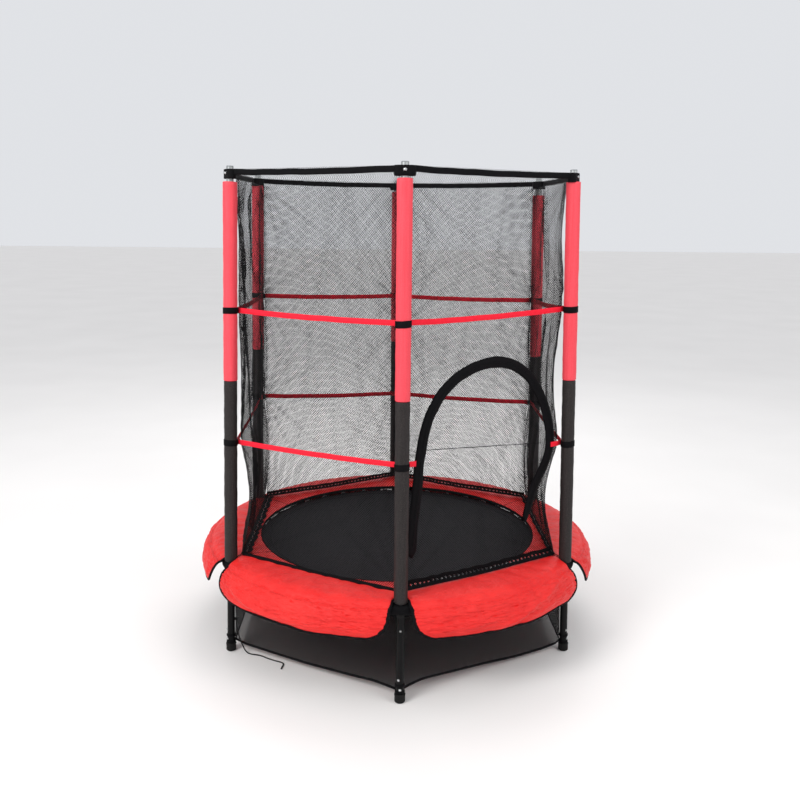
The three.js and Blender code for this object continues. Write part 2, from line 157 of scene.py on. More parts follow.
# Height of the skirt's hem at shares of the way across a side. Sides that are not named hang evenly.
SKIRT_HEM = {
    "front_left": ((0.0, 0.037), (0.08, 0.029), (0.45, 0.026), (0.70, 0.031), (0.86, 0.036), (1.0, 0.029)),
    "front_right": ((0.0, 0.029), (0.06, 0.039), (0.13, 0.045), (0.30, 0.039), (0.50, 0.032), (0.70, 0.022),
                    (0.88, 0.020), (1.0, 0.025)),
}
SKIRT_HEM_EVEN = ((0.0, 0.034), (0.2, 0.030), (0.5, 0.027), (0.8, 0.030), (1.0, 0.034))

# The skirt's tie cord: from its knot beside the front left leg down to the floor and along it
CORD_ROUTE = (
    (-0.548, -0.333, 0.112), (-0.5475, -0.334, 0.104), (-0.546, -0.335, 0.094), (-0.544, -0.337, 0.080),
    (-0.540, -0.340, 0.064), (-0.535, -0.343, 0.048), (-0.529, -0.347, 0.034), (-0.523, -0.3505, 0.022),
    (-0.5165, -0.3545, 0.012), (-0.509, -0.3585, 0.0055), (-0.500, -0.362, 0.0026),
    (-0.490, -0.366, 0.0023), (-0.479, -0.369, 0.0023), (-0.467, -0.3725, 0.0023),
    (-0.454, -0.380, 0.0023), (-0.441, -0.390, 0.0023), (-0.426, -0.3995, 0.0023),
    (-0.410, -0.409, 0.0023), (-0.396, -0.416, 0.0023), (-0.386, -0.4215, 0.0023),
    (-0.3805, -0.430, 0.0023), (-0.380, -0.441, 0.0023), (-0.382, -0.452, 0.0023),
    (-0.383, -0.463, 0.0023),
)
CORD_THICK = 0.004

UP = Vector((0, 0, 1))
HALF_SIDE = math.pi / len(SIDE_NAMES)
RNG = random.Random(7)


# ---- Numbers and curves ----

def mix(a, b, share):
    return a + (b - a) * share


def clamp(x, low=0.0):
    return min(1.0, max(low, x))


def shares(steps):
    """Even shares from 0 to 1, both ends included."""
    return [i / steps for i in range(steps + 1)]


def angles(count):
    """Even angles round a circle."""
    return [2 * math.pi * i / count for i in range(count)]


def polar(radius, angle, height):
    return Vector((radius * math.cos(angle), radius * math.sin(angle), height))


def outward(angle):
    return polar(1, angle, 0)


def level_radius(point):
    return math.hypot(point.x, point.y)


def radial(path):
    """The outward direction at each point of a path."""
    return [outward(math.atan2(p.y, p.x)) for p in path]


def interpolated(table, x):
    """The value at x in a list of (x, value) pairs in rising or falling order of x."""
    rising = table if table[0][0] < table[-1][0] else table[::-1]
    if x <= rising[0][0]:
        return rising[0][1]
    for (x0, y0), (x1, y1) in zip(rising, rising[1:]):
        if x <= x1:
            return mix(y0, y1, (x - x0) / (x1 - x0))
    return rising[-1][1]


def spline_point(points, t):
    """A point of the Catmull-Rom spline through points. t is 0 at the first point, 1 at the second, and so
    on."""
    i = min(int(t), len(points) - 2)
    share = t - i
    before, start = points[max(i - 1, 0)], points[i]
    end, after = points[i + 1], points[min(i + 2, len(points) - 1)]
    return 0.5 * (2 * start + (end - before) * share
                  + (2 * before - 5 * start + 4 * end - after) * share ** 2
                  + (3 * start - before - 3 * end + after) * share ** 3)


def smooth_line(points, steps):
    """Evenly numbered points of a smooth line through a few points."""
    given = [Vector(p) for p in points]
    return [spline_point(given, i * (len(given) - 1) / steps) for i in range(steps + 1)]


def even_line(points, steps):
    """Evenly spaced points along a line of points."""
    lengths = [0.0]
    for a, b in zip(points, points[1:]):
        lengths.append(lengths[-1] + (b - a).length)
    even = []
    k = 0
    for i in range(steps + 1):
        wanted = lengths[-1] * i / steps
        while k < len(points) - 2 and lengths[k + 1] < wanted:
            k += 1
        even.append(points[k].lerp(points[k + 1], (wanted - lengths[k]) / (lengths[k + 1] - lengths[k])))
    return even


def ripple(point, size=1.0, seed=0.0):
    """Smooth noise from -1 to 1, with bumps about size across."""
    return noise.noise(Vector(point) / size + Vector((seed, seed * 1.7, -seed)))


def linear(red, green, blue):
    """A material colour from sRGB numbers up to 255."""
    return tuple(c / 12.92 if c < 0.04045 else ((c + 0.055) / 1.055) ** 2.4
                 for c in (red / 255, green / 255, blue / 255)) + (1.0,)


# ---- Materials ----

class Look:
    """A material that is built up from nodes."""

    def __init__(self, name, **sockets):
        self.material = bpy.data.materials.new(name)
        self.material.use_nodes = True
        self.tree = self.material.node_tree
        self.shader = self.tree.nodes["Principled BSDF"]
        self.feed(self.shader, **sockets)

    def feed(self, node, **inputs):
        """Gives a node's inputs sockets or plain values. In a name, _ stands for a space."""
        for key, value in inputs.items():
            socket = node.inputs[key.replace("_", " ")]
            if isinstance(value, bpy.types.NodeSocket):
                self.tree.links.new(value, socket)
            else:
                socket.default_value = value

    def node(self, kind, **inputs):
        made = self.tree.nodes.new("ShaderNode" + kind)
        self.feed(made, **inputs)
        return made

    def place(self, stretch=(1, 1, 1)):
        """Coordinates in metres on the piece itself, times stretch."""
        here = self.node("TexCoord").outputs["Object"]
        return self.node("Mapping", Vector=here, Scale=stretch).outputs["Vector"]

    def cloudy(self, bumps_per_metre, detail=3.0, stretch=(1, 1, 1), roughness=0.55):
        """Smooth noise from 0 to 1."""
        return self.node("TexNoise", Vector=self.place(stretch), Scale=bumps_per_metre, Detail=detail,
                         Roughness=roughness).outputs["Fac"]

    def calculate(self, operation, *values):
        made = self.node("Math")
        made.operation = operation
        for number, value in enumerate(values):
            if isinstance(value, bpy.types.NodeSocket):
                self.tree.links.new(value, made.inputs[number])
            else:
                made.inputs[number].default_value = value
        return made.outputs[0]

    def weighted(self, *parts):
        """The sum of values, each times its weight."""
        total = 0.0
        for value, weight in parts:
            total = self.calculate("MULTIPLY_ADD", value, weight, total)
        return total

    def weave(self, pitch, across="Z"):
        """The relief of a plain weave: threads across X, and threads across another direction."""
        sets = []
        for direction in ("X", across):
            wave = self.node("TexWave", Vector=self.place(), Scale=math.pi / 10 / pitch)
            wave.bands_direction = direction
            sets.append(wave.outputs["Fac"])
        return self.calculate("MAXIMUM", *sets)

    def finish(self, tone, dark, light, rough=None, relief=None):
        """Colours the material from dark to light, each (tone, colour). rough is (factor, roughness at 0,
        roughness at 1), and relief is (height, depth in metres)."""
        ramp = self.node("ValToRGB", Fac=tone)
        for element, (position, colour) in zip(ramp.color_ramp.elements, (dark, light)):
            element.position = position
            element.color = colour
        self.feed(self.shader, Base_Color=ramp.outputs["Color"])
        if rough:
            spread = self.node("MapRange", Value=rough[0], To_Min=rough[1], To_Max=rough[2])
            self.feed(self.shader, Roughness=spread.outputs["Result"])
        if relief:
            bump = self.node("Bump", Height=relief[0], Distance=relief[1])
            self.feed(self.shader, Normal=bump.outputs["Normal"])
        return self.material


def painted_steel():
    """Black powder coat, with faint orange peel and lighter dust."""
    look = Look("steel_black", Specular_IOR_Level=0.12, Coat_Weight=0.04, Coat_Roughness=0.2)
    dust = look.cloudy(45)
    return look.finish(dust, (0.3, linear(7, 7, 8)), (0.8, linear(16, 15, 16)), (dust, 0.34, 0.52),
                       (look.cloudy(900, 1.0), 0.00006))


def zinc_steel():
    """Zinc-plated pole, with drawn lines along it and dull blooms."""
    look = Look("steel_zinc", Metallic=0.9)
    lines = look.cloudy(1.0, 2.0, (1500, 1500, 18))
    both = look.weighted((look.cloudy(60, 4.0), 0.6), (lines, 0.4))
    return look.finish(both, (0.25, linear(142, 146, 148)), (0.8, linear(208, 210, 208)), (both, 0.28, 0.5),
                       (lines, 0.00005))


def spring_steel():
    look = Look("spring_steel", Metallic=1.0)
    tone = look.cloudy(160)
    return look.finish(tone, (0.2, linear(150, 152, 154)), (0.8, linear(222, 223, 222)), (tone, 0.2, 0.4))


def black_rubber():
    look = Look("rubber_black", Specular_IOR_Level=0.2)
    scuffs = look.cloudy(70, 5.0, (1, 1, 4))
    return look.finish(scuffs, (0.35, linear(9, 9, 10)), (0.85, linear(30, 28, 27)), (scuffs, 0.55, 0.8),
                       (look.cloudy(1400, 1.0), 0.00008))


def grey_plastic():
    look = Look("plastic_grey")
    tone = look.cloudy(90)
    return look.finish(tone, (0.2, linear(128, 132, 136)), (0.8, linear(166, 170, 172)), (tone, 0.4, 0.55),
                       (look.cloudy(1700, 1.0), 0.00005))


def foam(name, dark, light, cell_contrast, shine):
    """Extruded foam: fine closed cells, long faint draw lines, and dents from handling."""
    look = Look(name, Specular_IOR_Level=shine)
    cells = look.node("TexVoronoi", Vector=look.place(), Scale=420).outputs["Distance"]
    lines = look.cloudy(1.0, 3.0, (260, 260, 5))
    dents = look.cloudy(38)
    return look.finish(look.weighted((cells, cell_contrast), (lines, 1 - cell_contrast)), (0.2, dark),
                       (0.75, light), (dents, 0.42, 0.66), (look.weighted((cells, 0.5), (dents, 1)), 0.0004))


def mat_fabric():
    """Woven polypropylene: a tight black basket weave of flat tapes, with faint bands across it."""
    look = Look("mat_black", Specular_IOR_Level=0.12)
    threads = look.weave(0.0016, "Y")
    bands = look.cloudy(1.0, 3.0, (3, 60, 1))
    tone = look.weighted((threads, 0.2), (bands, 0.4), (look.cloudy(7, 4.0), 0.4))
    return look.finish(tone, (0.25, linear(18, 17, 20)), (0.75, linear(30, 28, 32)), (threads, 0.72, 0.52),
                       (threads, 0.00012))


def pad_cover():
    """Coated polyester: a fine weave under a soft gloss, with creases. Its colour is partly painted light:
    paler on the creases' high places as a painted highlight, and darker in their hollows as painted shade.
    """
    look = Look("cover_red", Specular_IOR_Level=0.25, Coat_Weight=0.04, Coat_Roughness=0.3)
    creases = look.cloudy(1.0, 4.0, (14, 14, 70), 0.6)
    # Painted highlight and shade: the crease relief also lightens the colour where it stands high and darkens
    # it in the hollows; the other noise is random tone.
    tone = look.weighted((creases, 0.4), (look.cloudy(9), 0.6))
    lines = look.cloudy(1.0, 2.0, (26, 26, 110))
    from_line = look.calculate("ABSOLUTE", look.calculate("SUBTRACT", lines, 0.5))
    sharp = look.calculate("MINIMUM", from_line, 0.12)
    relief = look.weighted((look.weave(0.0011), 0.03), (creases, 1), (sharp, 1))
    return look.finish(tone, (0.3, linear(220, 28, 28)), (0.7, linear(240, 50, 46)), (creases, 0.36, 0.55),
                       (relief, 0.0065))


def net(name, pitch, thread):
    """Knitted netting: threads in two diagonal directions across the sheet's own metres, clear between. The
    mesh's gather number says how much wider the threads look where the net is bunched."""
    look = Look(name, Roughness=0.7, Specular_IOR_Level=0.1)
    metres = look.node("UVMap")
    metres.uv_map = "metres"
    x, y, _ = look.node("SeparateXYZ", Vector=metres.outputs["UV"]).outputs
    gather = look.node("Attribute")
    gather.attribute_name = "gather"
    edge = look.calculate("MULTIPLY_ADD", gather.outputs["Fac"], thread / pitch, thread / pitch)
    lines = []
    for operation in ("ADD", "SUBTRACT"):
        along = look.calculate("DIVIDE", look.calculate(operation, x, y), pitch)
        from_middle = look.calculate("SUBTRACT", look.calculate("FRACT", along), 0.5)
        lines.append(look.calculate("LESS_THAN", look.calculate("ABSOLUTE", from_middle), edge))
    thread_here = look.calculate("MAXIMUM", *lines)
    look.feed(look.shader, Alpha=look.calculate("MULTIPLY", thread_here, 0.97))
    return look.finish(look.cloudy(300, 2.0), (0.3, linear(8, 8, 9)), (0.8, linear(18, 17, 19)))


def webbing(name, dark, light, rib, shine):
    """Woven tape, with ribs across it."""
    look = Look(name, Specular_IOR_Level=shine)
    ribs = look.weave(rib)
    tone = look.weighted((ribs, 0.4), (look.cloudy(120), 0.6))
    return look.finish(tone, (0.25, dark), (0.8, light), (ribs, 0.8, 0.6), (ribs, 0.0002))


MATERIALS = {
    "steel_black": painted_steel(),
    "steel_zinc": zinc_steel(),
    "spring_steel": spring_steel(),
    "rubber_black": black_rubber(),
    "plastic_grey": grey_plastic(),
    "foam_red": foam("foam_red", linear(222, 60, 72), linear(240, 80, 92), 0.35, 0.3),
    "foam_grey": foam("foam_grey", linear(22, 19, 19), linear(52, 47, 46), 0.6, 0.2),
    "mat_black": mat_fabric(),
    "cover_red": pad_cover(),
    "net_black": net("net_black", 0.0076, 0.00062),
    "webbing_red": webbing("webbing_red", linear(228, 10, 36), linear(253, 32, 58), 0.0009, 0.25),
    "binding_black": webbing("binding_black", linear(5, 5, 6), linear(13, 12, 15), 0.0010, 0.09),
    "cord_black": webbing("cord_black", linear(9, 8, 9), linear(22, 20, 21), 0.0007, 0.15),
}
SKIRT_NET = net("skirt_net_black", 0.0040, 0.00106)


# ---- Mesh helpers ----

def make_piece(name, vertices, faces, slot, body="frame", replaces=None, material=None, smooth_below=40,
               sheet_map=None):
    """A mesh piece that rides on a body. sheet_map has, for each vertex, its two coordinates in metres on
    the flat sheet and how much the sheet is gathered there."""
    mesh = bpy.data.meshes.new(name)
    mesh.from_pydata([tuple(v) for v in vertices], [], faces)
    mesh.validate()
    if sheet_map:
        layer = mesh.uv_layers.new(name="metres")
        for loop in mesh.loops:
            layer.data[loop.index].uv = sheet_map[loop.vertex_index][:2]
        gather = mesh.attributes.new("gather", "FLOAT", "POINT")
        gather.data.foreach_set("value", [here[2] for here in sheet_map])
    mesh.shade_smooth()
    mesh.set_sharp_from_angle(angle=math.radians(smooth_below))
    return place_piece(name, mesh, slot, body, replaces, material)


def place_piece(name, data, slot, body="frame", replaces=None, material=None):
    piece = bpy.data.objects.new(name, data)
    bpy.context.scene.collection.objects.link(piece)
    data.materials.append(material or MATERIALS[slot])
    if body:
        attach(piece, body)
    if replaces:
        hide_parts(replaces)
    return piece


class Shape:
    """Vertices and faces that grow piece by piece."""

    def __init__(self):
        self.vertices = []
        self.faces = []

    def loft(self, loops, closed=False, capped=False):
        """Faces between loops of points, one after another. A loop of one point closes an end."""
        segments = max(len(loop) for loop in loops)
        rings = []
        for loop in loops:
            first = len(self.vertices)
            self.vertices += loop
            rings.append(list(range(first, first + len(loop))) if len(loop) > 1 else [first] * segments)
        for lower, upper in zip(rings, rings[1:] + rings[:1] if closed else rings[1:]):
            for i in range(segments):
                j = (i + 1) % segments
                corners = [lower[i], lower[j], upper[j], upper[i]]
                kept = [c for k, c in enumerate(corners) if c != corners[k - 1]]
                if len(kept) > 2:
                    self.faces.append(tuple(kept))
        if capped:
            self.faces += [tuple(reversed(rings[0])), tuple(rings[-1])]
        return self

    def lathe(self, profile, matrix, segments=32):
        """Turns a profile of (radius, height) about the matrix's Z. A radius of 0 closes the end."""
        rings = []
        for radius, height in profile:
            turns = angles(segments) if radius else [0]
            rings.append([matrix @ polar(radius, angle, height) for angle in turns])
        return self.loft(rings)

    def sweep(self, path, section, outs, closed=False):
        """Moves a section of (across, out) points along a path. outs gives the outward direction, one for
        all the path or one for each point. Across is square to it and to the path."""
        last = len(path) - 1
        loops = []
        for i, point in enumerate(path):
            before = path[i - 1] if closed or i else path[0]
            after = path[(i + 1) % len(path)] if closed or i < last else path[-1]
            along = (after - before).normalized()
            out = outs[i] if isinstance(outs, list) else outs
            out = (out - along * out.dot(along)).normalized()
            across = along.cross(out)
            here = section[i] if isinstance(section[0], list) else section
            loops.append([point + across * a + out * o for a, o in here])
        return self.loft(loops, closed, capped=not closed)

    def piece(self, name, slot, body="frame", **more):
        return make_piece(name, self.vertices, self.faces, slot, body, **more)


def oval_section(wide, thick, sides=14):
    return [(wide / 2 * math.cos(angle), thick / 2 * math.sin(angle)) for angle in angles(sides)]


def circle_section(radius, sides=10):
    return oval_section(2 * radius, 2 * radius, sides)


def flat_section(wide, thick):
    """A tape's section, with its edges bevelled."""
    bevel = thick * 0.45
    half, low, high = wide / 2, -thick / 2, thick / 2
    return [(-half, low + bevel), (-half + bevel, low), (half - bevel, low), (half, low + bevel),
            (half, high - bevel), (half - bevel, high), (-half + bevel, high), (-half, high - bevel)]


def looking_along(origin, direction):
    """A matrix at origin whose Z is direction."""
    turned = direction.to_track_quat("Z", "Y").to_matrix().to_4x4()
    turned.translation = origin
    return turned


def axes_at(origin, *axes):
    """A matrix at origin with the given X, Y and Z."""
    turned = Matrix(axes).transposed().to_4x4()
    turned.translation = origin
    return turned


def apply_modifiers(piece):
    """Makes the mesh that a piece's modifiers give the piece's own."""
    made = bpy.data.meshes.new_from_object(piece.evaluated_get(bpy.context.evaluated_depsgraph_get()))
    piece.modifiers.clear()
    piece.data = made


# ---- Camera, and the cord ----

def make_camera():
    data = bpy.data.cameras.new("camera")
    data.sensor_width = 36
    data.lens = 39.03
    camera = bpy.data.objects.new("camera", data)
    bpy.context.scene.collection.objects.link(camera)
    bpy.context.scene.camera = camera
    yaw, pitch, roll = (math.radians(a) for a in (1.256, -11.762, 0.586))
    forward = Vector((math.sin(yaw) * math.cos(pitch), math.cos(yaw) * math.cos(pitch), math.sin(pitch)))
    level = Vector((math.cos(yaw), -math.sin(yaw), 0))
    upright = level.cross(forward)
    right = level * math.cos(roll) + upright * math.sin(roll)
    above = upright * math.cos(roll) - level * math.sin(roll)
    camera.matrix_world = axes_at((-0.0612, -3.0622, 1.4421), right, above, -forward)


def make_cord():
    """The limp tie cord of the skirt, with its knot, and its bare end on the floor."""
    data = bpy.data.curves.new("skirt_tie_cord", "CURVE")
    data.dimensions = "3D"
    data.bevel_depth = CORD_THICK / 2
    data.bevel_resolution = 3
    data.use_fill_caps = True
    spline = data.splines.new("BEZIER")
    spline.bezier_points.add(len(CORD_ROUTE) - 1)
    for point, at in zip(spline.bezier_points, CORD_ROUTE):
        point.co = at
        point.handle_left_type = point.handle_right_type = "AUTO"
    cord = place_piece("skirt_tie_cord", data, "cord_black", replaces="skirt_cord")

    loop_size, loop_rise = 0.0022, 0.003
    turns = [Vector(CORD_ROUTE[0]) + Vector((loop_size * (math.sin(a) + 2 * math.sin(2 * a)),
                                             loop_size * (math.cos(a) - 2 * math.cos(2 * a)),
                                             loop_rise * (1 + math.sin(3 * a)))) for a in angles(48)]
    knot = Shape().sweep(turns, circle_section(CORD_THICK * 0.45, 8), UP, closed=True)
    knot.piece("skirt_tie_knot", "cord_black")


# ---- Posts, legs and rail ----

class Post:
    """One leaning post, and places on it. Outward is away from the middle, and around is anticlockwise."""

    def __init__(self, name):
        self.name = name
        mount = next(m for m in frame["record"]["mounts"] if m["name"] == f"foot_{name}")
        foot = Vector(mount["pos_m"])
        low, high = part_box(f"pole_cap_{name}")
        self.angle = math.atan2(foot.y, foot.x)
        self.up = ((low + high) / 2 - foot).normalized()
        self.around = self.up.cross(outward(self.angle)).normalized()
        self.outward = self.around.cross(self.up)
        self.matrix = axes_at(foot, self.outward, self.around, self.up)
        self.strap_heights = STRAP_HEIGHTS[name]

    def at(self, out, around, height):
        """A point beside the post's axis, at a height above the floor."""
        return self.matrix @ Vector((out, around, height / self.up.z))

    def axis_radius(self, height):
        return level_radius(self.at(0, 0, height))

    def foam_radius(self, height):
        return FOAM_R["red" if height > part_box(f"red_foam_{self.name}")[0].z else "grey"]


def tube_profile(outer, bottom, top, bore=0.0):
    """The profile of a tube whose ends are open down to its bore, or of a bar closed at both ends."""
    edge = 0.0008
    return [(bore, bottom), (outer - edge, bottom), (outer, bottom + edge),
            (outer, top - edge), (outer - edge, top), (bore, top)]


def make_foot_cap(post):
    """A rubber cap over the leg's end, with a rolled upper rim, cut level with the floor."""
    rim, top = FOOT_CAP_R + 0.0008, FOOT_CAP_TALL
    seat = TUBE_R - 0.0005
    cap = Shape().lathe([(0, 0), (FOOT_CAP_R - 0.003, 0), (FOOT_CAP_R, 0.003), (FOOT_CAP_R, top - 0.006),
                         (rim, top - 0.004), (rim, top - 0.002), (FOOT_CAP_R - 0.001, top), (seat, top),
                         (seat, top - 0.004), (0, top - 0.004)], post.matrix, 40)
    for vertex in cap.vertices:
        vertex.z = max(vertex.z, 0.0)
    cap.piece(f"rubber_foot_{post.name}", "rubber_black", replaces=f"foot_cap_{post.name}")


def rail_arc(post, reach, steps):
    """The rail's centre line for reach metres on each side of a post."""
    half = reach / RAIL_RADIUS
    return [polar(RAIL_RADIUS, post.angle + mix(-half, half, share), RAIL_Z) for share in shares(steps)]


def make_leg(post):
    """The leg tube, the cross tube that takes the rail's ends, and the socket for the pole."""
    leg = Shape().lathe(tube_profile(TUBE_R, 0.009, 0.286), post.matrix)
    leg.lathe(tube_profile(TUBE_R, 0.310, SOCKET_TOP, POLE_R + 0.0004), post.matrix)
    path = rail_arc(post, CROSS_TUBE_REACH, 16)
    leg.sweep(path, circle_section(CROSS_TUBE_R, 28), radial(path))
    for end in (path[0], path[-1]):
        leg.sweep([end, end.lerp(path[8], 0.12)], circle_section(CROSS_TUBE_R + 0.0007, 28),
                  outward(post.angle))
    leg.lathe([(TUBE_R + 0.0002, 0.274), (TUBE_R + 0.0012, 0.279), (TUBE_R + 0.0042, 0.287)], post.matrix)
    leg.piece(f"steel_leg_{post.name}", "steel_black", replaces=f"leg_{post.name}")


def make_tube_sleeve(post):
    """The black fabric pocket of the pad, which wraps the cross tube where a petal's gap shows it."""
    path = rail_arc(post, 0.031, 20)
    sections = []
    for i, share in enumerate(shares(20)):
        radius = 0.0196 - 0.0016 * (2 * abs(share - 0.5)) ** 4
        sections.append([(a + 0.0005 * ripple((a * 120, o * 120, i * 0.3 + post.angle)),
                          o + 0.0005 * ripple((a * 120, o * 120, i * 0.3 - post.angle)))
                         for a, o in circle_section(radius, 30)])
    Shape().sweep(path, sections, radial(path)).piece(f"pad_pocket_{post.name}", "binding_black",
                                                      smooth_below=60)


def make_leg_screws(post):
    """Three screws on the outer side of the leg: a small one, a washer head and a dome."""
    screws = Shape()
    for height, aside, radius in LEG_SCREWS:
        facing = (post.outward * math.sqrt(TUBE_R ** 2 - aside ** 2) + post.around * aside).normalized()
        washer = radius * 1.2
        screws.lathe([(0, 0), (washer, 0), (washer, 0.0010), (radius, 0.0011), (radius * 0.94, 0.0022),
                      (radius * 0.7, 0.0034), (radius * 0.35, 0.0040), (radius * 0.28, 0.0030), (0, 0.0028)],
                     looking_along(post.at(0, 0, height) + facing * (TUBE_R - 0.0006), facing), 20)
    screws.piece(f"leg_screws_{post.name}", "spring_steel")


def make_poles(post):
    """Lower and upper zinc tubes, joined by a narrowed end, with a grey plug in the top."""
    foam_low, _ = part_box(f"grey_foam_{post.name}")
    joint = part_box(f"upper_pole_{post.name}")[0].z + 0.060
    cap_low, cap_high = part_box(f"pole_cap_{post.name}")
    seat, top = cap_high.z - 0.0034, cap_high.z - 0.0006
    lower = tube_profile(POLE_R, foam_low.z - 0.048, joint, POLE_BORE)
    upper = [(0.008, joint - 0.058), (0.0092, joint - 0.057), (0.0092, joint - 0.001),
             (POLE_R - 0.0005, joint + 0.0006), (POLE_R, joint + 0.003), (POLE_R, seat - 0.0006),
             (POLE_R - 0.0006, seat), (POLE_BORE, seat)]
    cap = [(0, cap_low.z), (0.0094, cap_low.z), (0.0094, top - 0.0027), (POLE_R, top - 0.0027),
           (POLE_R, top - 0.0014), (POLE_R - 0.0012, top - 0.0002), (POLE_R - 0.004, top), (0, top)]
    for name, profile, slot, node in (("zinc_pole_lower", lower, "steel_zinc", "lower_pole"),
                                      ("zinc_pole_upper", upper, "steel_zinc", "upper_pole"),
                                      ("pole_plug", cap, "plastic_grey", "pole_cap")):
        Shape().lathe(profile, post.matrix, 28).piece(f"{name}_{post.name}", slot,
                                                      replaces=f"{node}_{post.name}")


def make_foam(post, colour):
    """A foam sleeve with a slit along its inner side, soft ends, dents, and a waist under each strap."""
    node = f"{colour}_foam_{post.name}"
    low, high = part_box(node)
    bottom, top = low.z + 0.0006, high.z - 0.0006
    radius = FOAM_R[colour]
    seed = post.angle + (3.0 if colour == "red" else 0.0)
    # Each ring's radius, height and share of the dents
    profile = [(POLE_R + 0.0006, bottom + 0.002, 0.0), (radius - 0.005, bottom, 0.3),
               (radius - 0.0012, bottom + 0.0006, 1.0)]
    profile += [(radius, mix(bottom + 0.0028, top - 0.0028, share), 1.0)
                for share in shares(round((top - bottom) / 0.008))]
    profile += [(radius - 0.0012, top - 0.0006, 1.0), (radius - 0.005, top, 0.3),
                (POLE_R + 0.0006, top - 0.002, 0.0)]
    loops = []
    for ring_radius, height, softness in profile:
        squeeze = sum(0.0012 * math.exp(-((height - strap) / 0.012) ** 2) for strap in post.strap_heights)
        loop = []
        for angle in angles(40):
            here = polar(0.02, angle, height)
            dent = 0.0009 * ripple(here, 0.035, seed) + 0.0004 * ripple(here, 0.011, seed + 5)
            slit = 0.0016 * math.exp(-((angle - math.pi) / 0.07) ** 2)
            bulge = 0.0
            if node == "red_foam_front_left":
                bulge = 0.0032 * math.exp(-(math.hypot(0.022 * (angle - 1.22), height - 0.962) / 0.0085) ** 2)
            local = ring_radius + softness * (dent - squeeze - slit + bulge)
            loop.append(post.matrix @ polar(local, angle, height / post.up.z))
        loops.append(loop)
    piece = Shape().loft(loops).piece(f"foam_sleeve_{colour}_{post.name}", f"foam_{colour}", replaces=node,
                                      smooth_below=60)


def make_rail(side):
    """One sixth of the round rail, whose ends are inside two cross tubes."""
    start = POSTS[side].angle
    inside = 0.012 / RAIL_RADIUS
    path = [polar(RAIL_RADIUS, mix(start + inside, start + 2 * HALF_SIDE - inside, share), RAIL_Z)
            for share in shares(40)]
    rail = Shape().sweep(path, circle_section(RAIL_R, 20), radial(path))
    rail.piece(f"steel_rail_{SIDE_NAMES[side]}", "steel_black", replaces=f"rail_{SIDE_NAMES[side]}")


# ---- Jumping mat and springs ----

def mat_ring(radius, height):
    """A ring of the mat's face, with the scallops between its rings of wire at the edge."""
    scallop = 0.0012 * max(0.0, (radius - 0.45) / (MAT_R - 0.45))
    ring = []
    for angle in angles(SPRING_COUNT * 6) if radius else [0]:
        pull = math.cos(SPRING_COUNT * (angle - math.pi / SPRING_COUNT))
        wave = 0.0003 * ripple(polar(radius, angle, 0), 0.12, 2.0) if radius else 0
        ring.append(polar(radius + scallop * (pull - 1), angle, height + wave))
    return ring


def make_mat():
    """A round woven mat with a doubled hem, pulled into slight scallops between its rings."""
    hem = MAT_R - MAT_HEM
    radii = [0.0, 0.04, 0.10, 0.16, 0.22, 0.28, 0.33, 0.38, 0.42, hem - 0.004, hem - 0.001, hem, hem + 0.012,
             MAT_R - 0.018, MAT_R - 0.004, MAT_R]
    face = [(radius, MAT_FACE - 0.0012 * (1 - (radius / MAT_R) ** 2) + (MAT_HEM_RISE if radius >= hem else 0))
            for radius in radii]
    loops = [mat_ring(*place) for place in face]
    loops += [mat_ring(radius, height - MAT_THICK) for radius, height in reversed(face)]
    mat = Shape().loft(loops).piece("woven_mat", "mat_black", "mat", replaces="jumping_mat", smooth_below=30)

    stitches = Shape()
    stitch_half = 0.36 * 2 * math.pi / 360
    for radius in (hem + 0.003, hem + 0.006, MAT_R - 0.006):
        for i in range(360):
            angle = 2 * math.pi * (i + 0.5) / 360
            path = [polar(radius, angle + a * stitch_half, MAT_FACE + MAT_HEM_RISE + h)
                    for a, h in ((-1, -0.0002), (-0.5, 0.0003), (0.5, 0.0003), (1, -0.0002))]
            stitches.sweep(path, circle_section(0.0003, 4), UP)
    stitches.piece("mat_stitching", "binding_black", "mat")


def spring_directions():
    """The outward and the sideways direction at each spring."""
    outs = [outward(angle + math.pi / SPRING_COUNT) for angle in angles(SPRING_COUNT)]
    return [(out, UP.cross(out)) for out in outs]


def make_rings_and_tabs():
    """At each spring, a webbing tab sewn under the mat's edge, with a three-sided wire ring in it."""
    tabs, rings = Shape(), Shape()
    under = MAT_FACE - 0.0034
    for out, around in spring_directions():
        strap = [out * (MAT_R + reach) + UP * (under + rise)
                 for reach, rise in ((-0.040, 0), (-0.010, 0), (0.003, 0.0004), (0.006, 0.0022),
                                     (0.003, 0.0040), (-0.003, 0.0038))]
        tabs.sweep(strap, flat_section(0.024, 0.0011), [-UP, -UP, out * 0.4 - UP, out, UP, UP])
        corners = [out * radius + around * aside + UP * (SPRING_Z - 0.0006)
                   for radius, aside in ((MAT_R + 0.0025, 0.017), (MAT_R + 0.0025, -0.017),
                                         (SPRING_IN + 0.003, -0.0016), (SPRING_IN + 0.003, 0.0016))]
        loop = []
        for k, here in enumerate(corners):
            loop += [corners[k - 1].lerp(here, share) for share in (0.86, 0.97)]
            loop += [here.lerp(corners[(k + 1) % 4], share) for share in (0.03, 0.14)]
        rings.sweep(loop, circle_section(0.0017, 8), UP, closed=True)
    tabs.piece("mat_tabs", "binding_black", "mat")
    rings.piece("mat_rings", "spring_steel", "mat")


